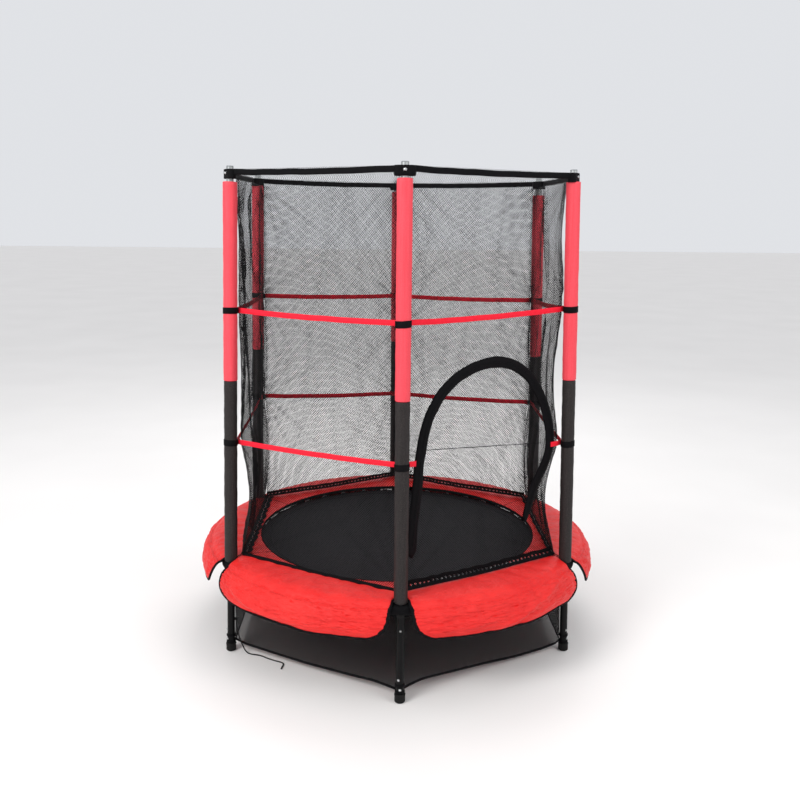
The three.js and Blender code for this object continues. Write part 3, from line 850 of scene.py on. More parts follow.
def make_springs():
    """Coil springs from the mat's rings to the rail."""
    turns, steps = 24, 9
    coil_start, coil_end = SPRING_IN + 0.012, SPRING_OUT - 0.016
    for number, (out, around) in enumerate(spring_directions()):
        # Places along the spring, sideways and up: the inner hook, the coil and the outer hook
        places = [(mix(SPRING_IN - 0.0005, coil_start, share), -wide * 0.9 * SPRING_COIL_R, 0)
                  for share, wide in ((0.0, 0.35), (0.1, 0.8), (0.4, 1.0), (0.75, 0.9), (1.0, 0.6))]
        for k in range(turns * steps + 1):
            turn = 2 * math.pi * k / steps
            places.append((mix(coil_start, coil_end, k / (turns * steps)), -SPRING_COIL_R * math.cos(turn),
                           SPRING_COIL_R * math.sin(turn)))
        places += [(mix(coil_end, SPRING_OUT, share), -SPRING_COIL_R * wide, -0.002 * share)
                   for share, wide in ((0.2, 0.9), (0.55, 0.7), (0.85, 0.35), (1.0, 0.0))]
        path = [out * along + around * aside + UP * (SPRING_Z + above) for along, aside, above in places]
        spring = Shape().sweep(path, circle_section(SPRING_WIRE_R, 6), out + UP * 0.3)
        piece = spring.piece(f"coil_spring_{number + 1:02d}", "spring_steel", body=None,
                             replaces=None if number else "spring_set")
        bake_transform(piece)


# ---- Spring pad ----

def side_angle(side):
    """The direction of the middle of a side."""
    return POSTS[side].angle + HALF_SIDE


def side_posts(side):
    return POSTS[side], POSTS[(side + 1) % len(POSTS)]


def pad_section(table, t):
    """A (radius, height) of a pad face, with t from 0 at the inner edge to 1 at the petal's lower edge."""
    points = [Vector((r, z, 0)) for r, z in table]
    here = spline_point(points, t * (len(points) - 1))
    return here.x, here.y


def pad_share(row):
    """Spreads the rows, so that they are closer together down the petal."""
    return (row / PAD_ROWS) ** 0.85


def pad_across(column):
    """From -1 to 1 between the posts."""
    return 2 * column / PAD_COLUMNS - 1


def pad_face_point(table, side, column, row):
    """A point of the pad's upper or lower face, before wrinkles. Column runs from one post to the next."""
    t = pad_share(row)
    radius, height = pad_section(table, t)
    across = pad_across(column)
    gap = 0.0
    if radius > PAD_RING_R:
        gap = interpolated(PETAL_GAP, height) / radius * min(1.0, (radius - PAD_RING_R) / 0.012)
    angle = side_angle(side) + across * (HALF_SIDE - gap)
    hang = max(0.0, (t - 0.72) / 0.28)
    drop = hang * (0.004 * math.cos(math.pi * across * 0.5) + 0.003 * ripple((across * 2, side, 0)))
    return polar(radius, angle, height - drop)


def pad_upper_height(radius):
    return interpolated([p for p in PAD_UPPER if p[0] < 0.661], radius)


def make_pad():
    """The padded ring over the springs, with a hanging petal on each side. The cloth simulation puffs it up
    between its seams and lets the petals crumple; folds and fine wrinkles follow."""
    vertices = []
    index = {}
    for layer, table in enumerate((PAD_UPPER, PAD_LOWER)):
        for side in SIDES:
            for column in range(PAD_COLUMNS + 1):
                for row in range(PAD_ROWS + 1):
                    joined = pad_section(table, pad_share(row))[0] <= PAD_RING_R
                    if joined and column == PAD_COLUMNS:
                        index[layer, side, column, row] = None
                        continue
                    index[layer, side, column, row] = len(vertices)
                    vertices.append(pad_face_point(table, side, column, row))
    for (layer, side, column, row), number in list(index.items()):
        if number is None:
            index[layer, side, column, row] = index[layer, (side + 1) % len(SIDES), 0, row]

    pad = make_piece("pad_cover", vertices, pad_faces(index), "cover_red", body=None,
                     smooth_below=PAD_SMOOTH_BELOW)
    puff_pad(pad, index)
    shape_pad(pad, index)
    outlines = pad_edges(pad, index)
    modifier = pad.modifiers.new("smooth", "SUBSURF")
    modifier.levels = modifier.render_levels = 1
    apply_modifiers(pad)
    crumple_petals(pad)
    pad.data.shade_smooth()
    pad.data.set_sharp_from_angle(angle=math.radians(PAD_SMOOTH_BELOW))
    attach(pad, "frame")
    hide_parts("spring_pad")
    return outlines


def pad_faces(index):
    """The faces of both layers, and the strips that close them at the inner edge and round each petal."""
    faces = []
    for side in SIDES:
        for column in range(PAD_COLUMNS):
            for row in range(PAD_ROWS):
                corners = [(column, row), (column, row + 1), (column + 1, row + 1), (column + 1, row)]
                faces.append(tuple(index[0, side, c, r] for c, r in corners))
                faces.append(tuple(index[1, side, c, r] for c, r in reversed(corners)))
            for row in (0, PAD_ROWS):
                rim = [index[0, side, column, row], index[0, side, column + 1, row],
                       index[1, side, column + 1, row], index[1, side, column, row]]
                faces.append(tuple(reversed(rim) if row else rim))
        for column in (0, PAD_COLUMNS):
            for row in range(PAD_ROWS):
                ends = [index[0, side, column, row], index[0, side, column, row + 1],
                        index[1, side, column, row + 1], index[1, side, column, row]]
                if free_edge(index, side, column, row):
                    faces.append(tuple(ends if column else reversed(ends)))
    return faces


def free_edge(index, side, column, row):
    """True where the pad's side edge is open, beyond the ring that joins all the petals."""
    other, opposite = (side + 1, 0) if column == PAD_COLUMNS else (side - 1, PAD_COLUMNS)
    return index[0, side, column, row + 1] != index[0, other % len(SIDES), opposite, row + 1]


def puff_pad(pad, index):
    """A short cloth simulation, pinned at the inner edge, at the radial seams and along the rail."""
    start = [v.co.copy() for v in pad.data.vertices]
    pins = pad.vertex_groups.new(name="pins")
    for (layer, side, column, row), number in index.items():
        t = pad_share(row)
        held = t < PAD_CREASE and (row < 2 or column % PAD_SEAM_STEP == 0 or layer == 1)
        held = held or abs(t - PAD_CREASE) < 0.03
        pins.add([number], 1.0 if held else 0.0, "REPLACE")
    cloth = pad.modifiers.new("cloth", "CLOTH")
    for key, value in (("quality", 6), ("mass", 0.25), ("tension_stiffness", 12),
                       ("compression_stiffness", 12), ("shear_stiffness", 4), ("bending_stiffness", 0.15),
                       ("air_damping", 4), ("use_pressure", True), ("uniform_pressure_force", 3.0),
                       ("shrink_min", -0.035), ("vertex_group_mass", "pins")):
        setattr(cloth.settings, key, value)
    cloth.settings.effector_weights.gravity = 0.0
    cloth.point_cache.frame_start = 1
    cloth.point_cache.frame_end = CLOTH_FRAMES
    for step in range(1, CLOTH_FRAMES + 1):
        bpy.context.scene.frame_set(step)
    apply_modifiers(pad)
    bpy.context.scene.frame_set(1)
    # The ring may move less than the petals
    for vertex, before in zip(pad.data.vertices, start):
        moved = vertex.co - before
        most = mix(0.0018, 0.0060, clamp((level_radius(before) - 0.665) / 0.02))
        if moved.length > most:
            vertex.co = before + moved * (most / moved.length)


def petal_folds(side):
    """The folds of one petal: those given for the front, and others at random."""
    if SIDE_NAMES[side] in PETAL_FOLDS:
        return PETAL_FOLDS[SIDE_NAMES[side]]
    folds = []
    for k in range(5):
        start = (mix(-0.95, 0.95, (k + RNG.random()) / 5), RNG.uniform(0.50, 0.75))
        end = (start[0] + RNG.uniform(-0.5, 0.5), RNG.uniform(0.85, 1.02))
        folds.append((start, end, RNG.uniform(0.009, 0.014), RNG.choice((-0.005, 0.006))))
    return folds


def fold_height(folds, across, t):
    """The height of the folds at a place on a petal."""
    total = 0.0
    here = Vector((across * PETAL_HALF_WIDE, t * PETAL_DEEP))
    for (across0, t0), (across1, t1), half_width, height in folds:
        start = Vector((across0 * PETAL_HALF_WIDE, t0 * PETAL_DEEP))
        end = Vector((across1 * PETAL_HALF_WIDE, t1 * PETAL_DEEP))
        share = (here - start).dot(end - start) / (end - start).length_squared
        fade = math.sin(math.pi * clamp(0.12 + 0.82 * share))
        aside = (here - start.lerp(end, clamp(share))).length
        total += height * fade * math.exp(-(aside / half_width) ** 2)
    return total


def shape_pad(pad, index):
    """Grooves at the radial seams and at the bend over the rail, and folds on the petals."""
    normals = [v.normal.copy() for v in pad.data.vertices]
    folds = [petal_folds(side) for side in SIDES]
    moved = set()
    for (layer, side, column, row), number in index.items():
        if number in moved:
            continue
        moved.add(number)
        t = pad_share(row)
        petal = clamp((t - PAD_CREASE) / 0.10)
        across = pad_across(column)
        by = fold_height(folds[side], across, t) * petal * (1 - abs(across) ** 8)
        by += 0.0010 * (1 - petal) * ripple((across * 6 + side * 3.1, t * 14, 9))
        if layer == 0:
            from_seam = min(column % PAD_SEAM_STEP, -column % PAD_SEAM_STEP)
            by -= 0.0012 * math.exp(-(from_seam / 0.6) ** 2) * (1 - 0.6 * petal)
            by -= 0.0022 * math.exp(-((t - PAD_CREASE) / 0.014) ** 2)
        pad.data.vertices[number].co += normals[number] * (by if layer == 0 else -by)
    pad.data.update()


def crumple_petals(pad):
    """Fine creases that run round the petals, on the finished mesh."""
    normals = [v.normal.copy() for v in pad.data.vertices]
    for vertex, normal in zip(pad.data.vertices, normals):
        here = vertex.co
        radius = level_radius(here)
        if radius < 0.66 or normal.dot(Vector((here.x, here.y, 0)) / radius + UP * 0.5) < 0.3:
            continue
        along = math.atan2(here.y, here.x) * 0.69
        down = radius - 0.655 + 0.3285 - here.z
        depth = clamp((down - 0.012) / 0.03) * clamp((0.150 - down) / 0.022, 0.1)
        wander = 0.006 * ripple((along, down, 0), 0.05)
        for size, height, seed in ((0.0095, 0.0034, 1.0), (0.0055, 0.0018, 6.0)):
            level = abs(noise.noise(Vector((along / (size * 5.5), (down + wander) / size, seed))))
            here -= normal * height * depth * max(0.0, 1 - level / 0.22)


def pad_edges(pad, index):
    """For each side, the points round its petal's open edge, from one post to the next, midway between the
    upper and the lower face."""
    outlines = []
    points = pad.data.vertices
    for side in SIDES:
        down = [row for row in range(PAD_ROWS + 1) if row == PAD_ROWS or free_edge(index, side, 0, row)]
        places = [(0, row) for row in down] + [(column, PAD_ROWS) for column in range(1, PAD_COLUMNS)]
        places += [(PAD_COLUMNS, row) for row in reversed(down)]
        outlines.append([(points[index[0, side, column, row]].co + points[index[1, side, column, row]].co) / 2
                         for column, row in places])
    return outlines


def make_pad_bindings(outlines):
    """Black tape folded over the petals' edges and over the pad's inner edge, and the radial seams. The inner
    tape also hangs below the pad's edge as a painted shadow over the gap to the mat.
    """
    binding = Shape()
    for side, outline in enumerate(outlines):
        path = even_line(outline, 150)
        middle = polar(0.45, side_angle(side), 0.30)
        centre = sum(path, Vector()) / len(path)
        outs = []
        for i, point in enumerate(path):
            along = (path[min(i + 1, 150)] - path[max(i - 1, 0)]).normalized()
            face = along.cross(centre - point).normalized()
            outs.append(face if face.dot(point - middle) >= 0 else -face)
        binding.sweep(path, oval_section(0.0112, 0.0080, 12), outs)
    binding.piece("petal_binding", "binding_black")

    outs = [outward(angle) for angle in angles(180)]
    # Painted shadow: the inner tape is real, but it reaches about 5 mm below the pad's edge, further on the
    # +X side, as a black band where the gap to the mat is only in shade.
    path = [out * PAD_INNER_R + UP * (0.3180 - 0.0016 * max(0.0, out.x) + 0.0006 * ripple(out * 8))
            for out in outs]
    inner = Shape().sweep(path, oval_section(0.0110, 0.0036, 10), outs, closed=True)
    inner.piece("pad_inner_binding_and_shadow", "binding_black")

    seams = Shape()
    for post in POSTS:
        path = [polar(r, post.angle, pad_upper_height(r) + 0.0002)
                for r in (0.499, 0.515, 0.530, 0.550, 0.570, 0.590, 0.606, 0.620, 0.630)]
        seams.sweep(path, flat_section(0.0022, 0.0012), UP)
    seams.piece("pad_radial_seams", "binding_black")


# ---- Enclosure ----

def net_corner(post, height):
    """Where the net's vertical seam is beside a post. It is pulled in between the straps, and near the top
    it goes out past the pole to the binding."""
    radius = mix(NET_BOTTOM_R, NET_TOP_R, (height - NET_BOTTOM) / (NET_TOP - NET_BOTTOM))
    high, low = post.strap_heights
    stops = [NET_BOTTOM, low, high, NET_CINCH]
    for start, end, pull in zip(stops, stops[1:], CORNER_PULL[post.name]):
        if start < height < end:
            radius -= pull * math.sin(math.pi * (height - start) / (end - start)) ** 1.3
    flare = clamp((height - 1.557) / 0.014)
    radius = mix(radius, binding_radius(post, height) - 0.002, flare * flare * (3 - 2 * flare))
    return polar(radius, post.angle, height)


def binding_radius(post, height):
    return post.axis_radius(height) + POLE_R + 0.0035


def net_creases(side, share, height):
    """The creases of a side, each as (which way it stands, depth from 0 to 1, closeness from 0 to 1)."""
    seed = side * 1.7
    creases = []
    for k in range(9):
        foot = 0.07 + 0.107 * k + 0.04 * math.sin(seed + 2.1 * k)
        lean = 0.38 * math.sin(seed * 2.0 + 1.3 * k)
        wiggle = 0.02 * math.sin(9.0 * height + seed + k)
        wide = 0.022 + 0.016 * math.sin(seed + 1.9 * k) ** 2
        line = (share - foot - lean * (height - 0.96) - wiggle) / wide
        depth = 0.55 + 0.45 * math.sin(3.1 * height + 2.0 * k + seed)
        creases.append((1 if k % 2 else -1, depth, math.exp(-line ** 2)))
    return creases


def net_fans(side, share, height):
    """Creases that fan out from where the net is tied to the posts beside a side, from 0 to 1."""
    strongest = 0.0
    for post, across in zip(side_posts(side), (share, 1 - share)):
        high, low = post.strap_heights
        for number, tied in enumerate((NET_BOTTOM, low, high, 1.565)):
            distance = math.hypot(across * 0.6, height - tied)
            if not 0.01 < distance < 0.50:
                continue
            direction = math.atan2(height - tied, across * 0.6)
            turned = 0.1 * math.sin(number * 2.3 + post.angle * 3)
            for angle in (-1.38, -1.12, -0.72, 0.55, 0.98, 1.30):
                close = math.exp(-((direction - angle - turned) * distance / 0.0075) ** 2)
                strongest = max(strongest, close * math.exp(-distance / 0.20))
    return strongest


def net_folds(side, share, height):
    """How far the net is pushed out or in, in metres, at a share of the way across a side. The red webbing
    holds it in."""
    slack, _, _, billow = NET_SIDES[SIDE_NAMES[side]]
    seed = side * 1.7
    edge = min(1.0, share / 0.06, (1 - share) / 0.06)
    tall = min(1.0, (height - NET_BOTTOM) / 0.05, max(0.0, (1.565 - height) / 0.06))
    folds = 0.014 * sum(way * depth * close for way, depth, close in net_creases(side, share, height))
    billow *= math.sin(math.pi * share) ** 0.5 * (0.75 + 0.25 * math.sin(5.2 * height + seed))
    fine = 0.003 * ripple((share * 4, height * 5, seed))
    fan = 0.006 * slack * net_fans(side, share, height)
    free = (folds * slack + billow + fine) * edge * tall + fan
    start, end = side_posts(side)
    webbing = [mix(*ends, share) for ends in zip(start.strap_heights, end.strap_heights)]
    from_webbing = min(abs(height - line) for line in webbing)
    room, softness = 0.001 + 0.30 * from_webbing, 0.003
    return room - softness * math.log1p(math.exp((room - free) / softness))


def net_gather(side, share, height):
    """How much wider the threads look, from bunching of the whole side, at its creases and at its seams."""
    slack, low, high, _ = NET_SIDES[SIDE_NAMES[side]]
    tall = (height - NET_BOTTOM) / (NET_TOP - NET_BOTTOM)
    creased = max(depth * close ** 2 for _, depth, close in net_creases(side, share, height))
    seam = math.exp(-min(share, 1 - share) / 0.010)
    patches = 0.35 * slack * ripple((share * 5, height * 7, slack * 9))
    bunched = 1.6 * slack * slack * math.exp(-(height - NET_BOTTOM) / 0.10)
    fans = net_fans(side, share, height) * (0.5 + 2.2 * slack)
    return (mix(low, high, tall) + patches + creased * (0.15 + 1.8 * slack * slack) + fans + bunched
            + 2.0 * seam)


def net_point(side, share, height, off=0.0):
    """A point of a net side, off metres outside it."""
    start, end = (net_corner(post, height) for post in side_posts(side))
    return start.lerp(end, share) + outward(side_angle(side)) * (net_folds(side, share, height) + off)


def side_width(side, height):
    start, end = side_posts(side)
    return (net_corner(end, height) - net_corner(start, height)).length


def door_outline():
    """The arch's centre line as evenly spaced (distance from the side's middle, height) points."""
    return even_line(smooth_line([(u, z, 0) for u, z in DOOR_ARCH], 120), 120)


def inside_outline(outline, u, z):
    """True if (u, z) is inside the closed outline, by counting its crossings."""
    inside = False
    for a, b in zip(outline, outline[1:] + outline[:1]):
        if (a.y > z) != (b.y > z) and u < mix(a.x, b.x, (z - a.y) / (b.y - a.y)):
            inside = not inside
    return inside


def make_net_sheet(piece_name, side, node, keep=None, body="frame"):
    """A side of net, or the part of it whose cells keep(distance from the middle, height) allows."""
    columns = 64
    heights = [mix(NET_BOTTOM, DOOR_SILL, i / 14) for i in range(14)]
    heights += [mix(DOOR_SILL, NET_CINCH, i / 116) for i in range(116)]
    heights += [mix(NET_CINCH, NET_TOP, share) for share in shares(8)]
    vertices = []
    sheet_map = []
    for height in heights:
        width = side_width(side, height)
        for share in shares(columns):
            vertices.append(net_point(side, share, height))
            sheet_map.append(((share - 0.5) * width, height, net_gather(side, share, height)))
    faces = []
    for j in range(len(heights) - 1):
        for i in range(columns):
            first, above = j * (columns + 1) + i, (j + 1) * (columns + 1) + i
            corners = (first, first + 1, above + 1, above)
            if keep is None or keep(*(sum(sheet_map[c][axis] for c in corners) / 4 for axis in (0, 1))):
                faces.append(corners)
    used = sorted({i for face in faces for i in face})
    new = {old: i for i, old in enumerate(used)}
    return make_piece(piece_name, [vertices[i] for i in used], [tuple(new[i] for i in f) for f in faces],
                      "net_black", body, replaces=node, sheet_map=[sheet_map[i] for i in used])


def make_nets():
    """Six sides of net. The front right one has the door's opening, and the door's flap is its own sheet."""
    outline = door_outline()
    height = NET_TOP - NET_BOTTOM
    for side, name in enumerate(SIDE_NAMES):
        width = side_width(side, 0.9)
        keep, area = None, {}
        if side == DOOR_SIDE:
            keep = lambda u, z: z < DOOR_SILL or not inside_outline(outline, u, z)
            area = {"area": width * height - DOOR_AREA}
        panel = make_net_sheet(f"net_{name}", side, f"net_panel_{name}", keep)
    flap = make_net_sheet("door_net", DOOR_SIDE, "door_flap",
                          lambda u, z: z > DOOR_SILL and inside_outline(outline, u, z), "door")


def on_door_side(point, off):
    """A point off metres outside the door's side, from its distance from the middle and its height."""
    return net_point(DOOR_SIDE, 0.5 + point.x / side_width(DOOR_SIDE, point.y), point.y, off)


def make_door_edges():
    """The padded zip cover round the arch with its seam, the zip's tape and the seam across the flap."""
    outline = door_outline()
    out = outward(side_angle(DOOR_SIDE))
    steps = 110
    path = even_line([on_door_side(p, 0.0085) for p in outline], steps)
    sections = []
    for share in shares(steps):
        end = min(1.0, share / 0.022, (1 - share) / 0.09)
        round_end = math.sqrt(max(0.05, 1 - (1 - end) ** 2))
        wide = DOOR_COVER_WIDE * (1 + 0.07 * ripple((share * 22, 0, 0))) * round_end
        thick = 0.0135 * (1 + 0.25 * ripple((share * 55, 3, 0))) * (0.5 + 0.5 * round_end)
        sections.append([(a * (1 + 0.04 * ripple((a * 90, share * 60, o * 90))), max(o, -0.0045))
                         for a, o in oval_section(wide, thick, 18)])
    sewn = [on_door_side(Vector((mix(-0.226, 0.232, share), mix(0.768, 0.733, share))), 0.001)
            for share in shares(30)]
    flap_edge = even_line([on_door_side(p, -0.002) for p in outline if p.y > DOOR_SILL + 0.003], 90)
    cover = Shape().sweep(path, sections, out)
    cover.piece("door_zip_cover", "binding_black", smooth_below=80)
    seam = Shape().sweep([p + out * 0.0069 for p in path[3:-3]], circle_section(0.0007, 6), out)
    seam.piece("door_cover_seam", "binding_black")
    Shape().sweep(flap_edge, flat_section(0.012, 0.0016), out).piece("door_zip_tape", "binding_black", "door")
    Shape().sweep(sewn, circle_section(0.0012, 6), out).piece("door_net_seam", "binding_black", "door")


def make_top_binding():
    """The folded tape round the net's top, outside the poles."""
    tape = Shape()
    for side in SIDES:
        start, end = (polar(binding_radius(p, BINDING_Z), p.angle, BINDING_Z) for p in side_posts(side))
        out = outward(side_angle(side))
        path = []
        for share in shares(40):
            dip = -0.004 * math.sin(math.pi * share) + 0.0016 * ripple((share * 9, side * 5.0, 0))
            sway = 0.0015 * ripple((share * 7, side * 9.0, 3))
            path.append(start.lerp(end, share) + UP * dip + out * sway)
        tape.sweep(path, oval_section(BINDING_TALL, 0.0042, 12), out)
    tape.piece("top_binding", "binding_black", smooth_below=60)


def make_corner_pocket(post):
    """A fabric pocket round the pole's top, under the plug, with a bolt through it."""
    loops = []
    for k, (height, swell) in enumerate(((-0.0165, 0.0), (-0.0155, 1.0), (-0.008, 1.25), (0.0, 1.0),
                                         (0.006, 1.2), (0.0110, 0.9), (0.0120, 0.0))):
        loop = []
        for angle in angles(36):
            thick = 0.0016 + 0.0012 * swell + 0.0006 * ripple((angle * 2, k, post.angle))
            flat = POLE_R + thick + 0.0165 * abs(math.sin(angle)) ** 3
            out = flat * math.cos(angle) if abs(math.sin(angle)) < 0.99 else 0.0
            loop.append(post.at(out, flat * math.sin(angle), POCKET_Z + height))
        loops.append(loop)
    Shape().loft(loops, capped=True).piece(f"net_pocket_{post.name}", "binding_black", smooth_below=70)
    bolt = [(0, -0.001), (0.0052, -0.001), (0.0052, 0.0006), (0.0042, 0.0008), (0.0040, 0.0020),
            (0.0030, 0.0032), (0.0015, 0.0037), (0, 0.0039)]
    turned = looking_along(post.at(POLE_R + 0.0030, 0, POCKET_Z + 0.0005), post.outward)
    Shape().lathe(bolt, turned, 24).piece(f"pocket_bolt_{post.name}", "spring_steel")


def make_straps(post):
    """Two hook-and-loop straps round a post, each with an overlapping end and a short tab to the net."""
    straps = Shape()
    steps, overlap = 44, 1.14
    for number, height in enumerate(post.strap_heights):
        radius = post.foam_radius(height)
        path, outs, sections = [], [], []
        for i in range(steps + 1):
            angle = math.radians(-115) + 2 * math.pi * overlap * i / steps
            lift = 0.0006 + 0.0014 * max(0.0, (i - steps / overlap) / (steps * 0.12))
            out = post.outward * math.cos(angle) + post.around * math.sin(angle)
            path.append(post.at(0, 0, height + 0.0014 * math.sin(angle + number)) + out * (radius + lift))
            outs.append(out)
            wide = STRAP_TALL * (1 + 0.04 * ripple((i * 0.3, number, post.angle)))
            sections.append(flat_section(wide, 0.0016))
        straps.sweep(path, sections, outs)
        tab = [post.at(-radius - reach, aside, height)
               for reach, aside in ((0.0005, 0.004), (0.006, 0.001), (0.012, 0))]
        straps.sweep(tab, flat_section(STRAP_TALL * 0.9, 0.0014), post.around)
    straps.piece(f"hook_and_loop_straps_{post.name}", "binding_black", smooth_below=60)


def ribbon_end(post, level):
    height = post.strap_heights[level]
    return polar(post.axis_radius(height) - post.foam_radius(height) - 0.0035, post.angle, height)


def make_ribbons():
    """Red webbing between neighbouring posts at both strap heights. The lower one on the door's side is cut
    short at each end, so that the door can open."""
    for side, name in enumerate(SIDE_NAMES):
        out = outward(side_angle(side))
        for level, label in enumerate(("upper", "lower")):
            start, end = (ribbon_end(post, level) for post in side_posts(side))
            cut = side == DOOR_SIDE and label == "lower"
            ribbon = Shape()
            for first, last, steps in ((0.0, 0.075, 8), (0.925, 1.0, 8)) if cut else ((0.0, 1.0, 40),):
                path = []
                for share in (mix(first, last, part) for part in shares(steps)):
                    drop = 0.0012 * ripple((share * 8, side, level * 3.0)) - 0.005 * math.sin(math.pi * share)
                    clear = 0.0055 * min(1.0, share / 0.03, (1 - share) / 0.03)
                    path.append(start.lerp(end, share) + UP * drop + out * clear)
                ribbon.sweep(path, flat_section(RIBBON_TALL, 0.0013), out)
            ribbon.piece(f"red_webbing_{label}_{name}", "webbing_red", smooth_below=50)


def hem_base(side, share):
    """The line of the net's lower hem, which lies on the pad."""
    start, end = (net_corner(post, NET_BOTTOM) for post in side_posts(side))
    here = start.lerp(end, share)
    here.z = max(pad_upper_height(level_radius(here)) + 0.0035, NET_BOTTOM - 0.006)
    return here


def hem_point(side, along, across):
    """A point of a wide hem: along in holes, and across in metres from its outer edge inwards."""
    tilt, scallop, _ = WIDE_HEMS[SIDE_NAMES[side]]
    out = outward(side_angle(side))
    slope = UP * math.sin(math.radians(tilt)) - out * math.cos(math.radians(tilt))
    laced = 0.5 - 0.5 * math.cos(2 * math.pi * along / 3.7 + 0.9 * math.sin(along * 0.8 + side))
    lift = 0.0020 * ripple((along * 0.5, across * 40, side * 3.0))
    return (hem_base(side, clamp(along / HEM_HOLES)) + slope * across * (1 - scallop * laced)
            + (out + UP * 0.3) * (0.006 + lift))


def make_hems():
    """The net's lower hem. One side has a plain narrow tape, and the others a wide tape with eyelets, pulled
    into slight scallops where it is laced down."""
    eyelets = Shape()
    for side, name in enumerate(SIDE_NAMES):
        out = outward(side_angle(side))
        hem = Shape()
        if name not in WIDE_HEMS:
            path = [hem_base(side, i / 48) + UP * 0.0015 * ripple((i * 0.4, 0, 0)) for i in range(49)]
            hem.sweep(path, oval_section(0.0145, 0.0060, 10), out + UP * 0.8)
            hem.piece(f"net_hem_{name}", "binding_black", smooth_below=60)
            continue
        wide = WIDE_HEMS[name][2]
        pitch = side_width(side, NET_BOTTOM) / HEM_HOLES
        for cell in range(HEM_HOLES):
            square, hole = [], []
            for angle in (a + math.pi / 16 for a in angles(16)):
                c, s = math.cos(angle), math.sin(angle)
                reach = 1 / max(abs(c), abs(s))
                square.append(hem_point(side, cell + 0.5 + 0.5 * c * reach, wide / 2 * (1 + s * reach)))
                hole.append(hem_point(side, cell + 0.5 + 0.0038 / pitch * c, wide / 2 + 0.0030 * s))
            hem.loft([square, hole])
            eyelets.sweep(hole, circle_section(0.0005, 6), out + UP, closed=True)
        band = hem.piece(f"net_hem_{name}", "binding_black", body=None, smooth_below=60)
        merge_and_thicken(band, 0.0015)
        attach(band, "frame")
        rims = Shape()
        for edge in (0.0015, wide - 0.0015):
            path = [hem_point(side, HEM_HOLES * share, edge) for share in shares(76)]
            rims.sweep(path, oval_section(0.0042, 0.0030, 8), out + UP)
        rims.piece(f"net_hem_edges_{name}", "binding_black", smooth_below=60)
    eyelets.piece("hem_eyelets", "spring_steel")


def merge_and_thicken(piece, thickness):
    """Joins vertices at the same place, and gives an open sheet a thickness."""
    grown = bmesh.new()
    grown.from_mesh(piece.data)
    bmesh.ops.remove_doubles(grown, verts=grown.verts, dist=0.00004)
    grown.to_mesh(piece.data)
    grown.free()
    solid = piece.modifiers.new("thickness", "SOLIDIFY")
    solid.thickness = thickness
    solid.offset = 0
    apply_modifiers(piece)


def make_ties_and_string():
    """Thin strings from the net's lower corners to the posts, and the short string at the door's side."""
    ties = Shape()
    for post in POSTS:
        radius = post.axis_radius(0.33)
        for shift in ((-0.010, 0.010) if post.name == "front" else (0.006,)):
            way = 1 if shift > 0 else -1
            path = smooth_line([
                polar(NET_BOTTOM_R + 0.004, post.angle + shift * 0.6, 0.3385),
                polar(0.614, post.angle + shift * 0.8, 0.3365),
                polar(radius - 0.0218, post.angle + shift * 1.4, 0.333),
                post.at(-0.010, 0.0225 * way, 0.327), post.at(0.008, 0.0215 * way, 0.3235)], 24)
            ties.sweep(path, circle_section(0.0011, 6), UP)
    ties.piece("net_corner_ties", "cord_black")

    width = side_width(DOOR_SIDE, 0.72)
    route = [(-0.258, 0.728), (-0.266, 0.716), (-0.273, 0.709), (-0.280, 0.712), (-0.284, 0.722)]
    path = smooth_line([net_point(DOOR_SIDE, 0.5 + u / width, z, 0.006) for u, z in route], 20)
    string = Shape().sweep(path, circle_section(0.0011, 6), outward(side_angle(DOOR_SIDE)))
    string.piece("door_pull_string", "cord_black")


# ---- Skirt ----

def skirt_point(side, share, down):
    """A point of the skirt, with down from 0 at its upper edge to 1 at its hem."""
    start = POSTS[side].angle
    upper = polar(SKIRT_TOP_R, start + share * 2 * HALF_SIDE, SKIRT_TOP)
    lower = polar(SKIRT_BOTTOM_R, start, 0).lerp(polar(SKIRT_BOTTOM_R, start + 2 * HALF_SIDE, 0), share)
    lower.z = interpolated(SKIRT_HEM.get(SIDE_NAMES[side], SKIRT_HEM_EVEN), share)
    slack = math.sin(math.pi * share) ** 0.6 if 0 < share < 1 else 0
    wave = 0.006 * ripple((share * 3.2, down * 1.5, side * 4.0)) * math.sin(math.pi * down) ** 0.7
    pleat = 0.0016 * math.sin(share * 60 + 2 * math.sin(share * 13 + side)) * (1 - down) ** 1.5
    return upper.lerp(lower, down) + outward(side_angle(side)) * (wave * slack + pleat)


def make_skirt():
    """The net skirt: round at the top, straight from leg to leg at the hem, with loops round the legs."""
    columns, rows = 60, 26
    vertices, sheet_map, faces = [], [], []
    for side in SIDES:
        for i in range(columns):
            for down in shares(rows):
                vertices.append(skirt_point(side, i / columns, down))
                sheet_map.append(((side + i / columns) * 0.63, (1 - down) * 0.25, 0.0))
    for first in range(0, len(vertices), rows + 1):
        after = (first + rows + 1) % len(vertices)
        faces += [(first + j, first + j + 1, after + j + 1, after + j) for j in range(rows)]
    skirt = make_piece("net_skirt", vertices, faces, "net_black", replaces="skirt", material=SKIRT_NET,
                       sheet_map=sheet_map)

    path = [skirt_point(side, i / 40, 1.0) for side in SIDES for i in range(40)]
    hem = Shape().sweep(path, oval_section(0.0092, 0.0032, 10), radial(path), closed=True)
    top = [polar(SKIRT_TOP_R + 0.0015, angle, SKIRT_TOP - 0.006) for angle in angles(180)]
    hem.sweep(top, flat_section(0.015, 0.0022), radial(top), closed=True)
    for post in POSTS:
        for height in (0.0345, 0.0555):
            loop = [post.at((TUBE_R + 0.0016) * math.cos(a), (TUBE_R + 0.0016) * math.sin(a),
                            height + 0.0012 * math.sin(2 * a)) for a in angles(32)]
            hem.sweep(loop, oval_section(0.0085, 0.0030, 10), [p - post.at(0, 0, height) for p in loop],
                      closed=True)
    hem.piece("skirt_hem_and_loops", "binding_black", smooth_below=60)


# ---- Stage ----

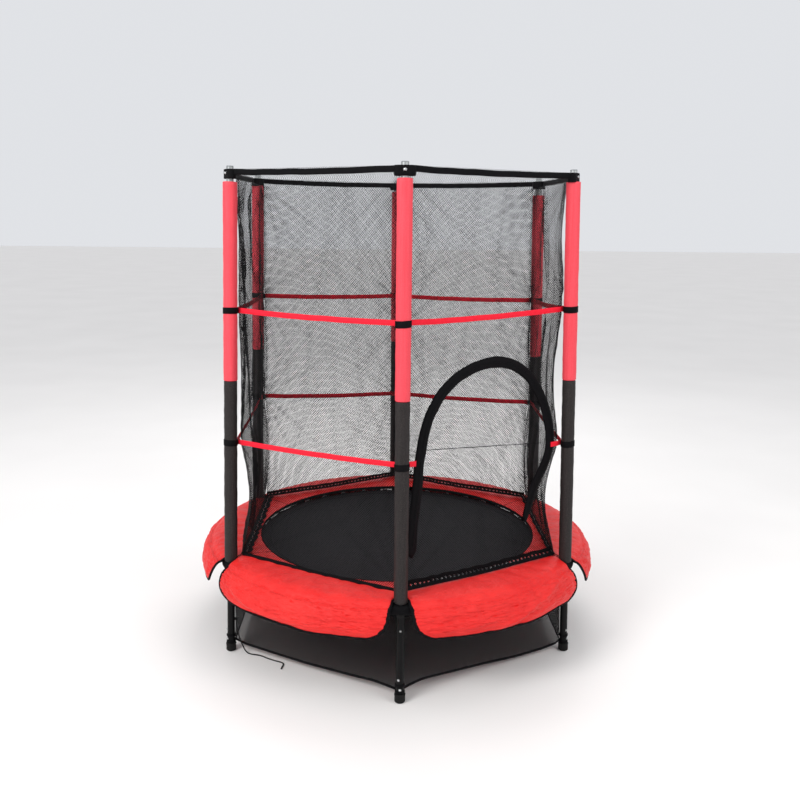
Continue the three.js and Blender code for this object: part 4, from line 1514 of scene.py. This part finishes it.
def make_stage():
    """A plain pale floor, a pale surrounding and three soft lamps."""
    reach = 40.0
    mesh = bpy.data.meshes.new("floor")
    mesh.from_pydata([(-reach, -reach, 0), (reach, -reach, 0), (reach, reach, 0), (-reach, reach, 0)],
                     [], [(0, 1, 2, 3)])
    floor = bpy.data.objects.new("floor", mesh)
    floor.location.z = -0.0003
    bpy.context.scene.collection.objects.link(floor)
    look = Look("floor_pale", Roughness=0.6)
    mesh.materials.append(look.finish(look.cloudy(1.2, 2.0), (0.3, linear(243, 240, 237)),
                                      (0.7, linear(247, 244, 241))))

    world = bpy.data.worlds.new("pale_room")
    bpy.context.scene.world = world
    world.use_nodes = True
    background = world.node_tree.nodes["Background"]
    background.inputs["Color"].default_value = linear(233, 235, 239)
    background.inputs["Strength"].default_value = 0.92

    lamps = (((-2.8, -3.0, 3.4), 1.8, 120), ((2.8, -2.4, 3.2), 2.2, 45), ((0.4, 2.6, 3.8), 2.4, 50))
    for number, (where, size, watts) in enumerate(lamps):
        data = bpy.data.lights.new(f"soft_lamp_{number + 1}", "AREA")
        data.size = size
        data.energy = watts
        lamp = bpy.data.objects.new(data.name, data)
        bpy.context.scene.collection.objects.link(lamp)
        lamp.location = where
        lamp.rotation_euler = (Vector((0, 0, 0.75)) - Vector(where)).to_track_quat("-Z", "Y").to_euler()


# ---- The whole ----

make_camera()
make_cord()

POSTS = [Post(name) for name in POST_NAMES]
RAIL_RADIUS = POSTS[0].axis_radius(RAIL_Z)
for each_post in POSTS:
    make_foot_cap(each_post)
    make_leg(each_post)
    make_tube_sleeve(each_post)
    make_leg_screws(each_post)
    make_poles(each_post)
    make_foam(each_post, "grey")
    make_foam(each_post, "red")
    make_corner_pocket(each_post)
    make_straps(each_post)
for each_side in SIDES:
    make_rail(each_side)

make_mat()
make_rings_and_tabs()
make_springs()
make_pad_bindings(make_pad())
make_nets()
make_door_edges()
make_top_binding()
make_ribbons()
make_hems()
make_ties_and_string()
make_skirt()
make_stage()

bpy.context.scene.view_settings.view_transform = "Standard"
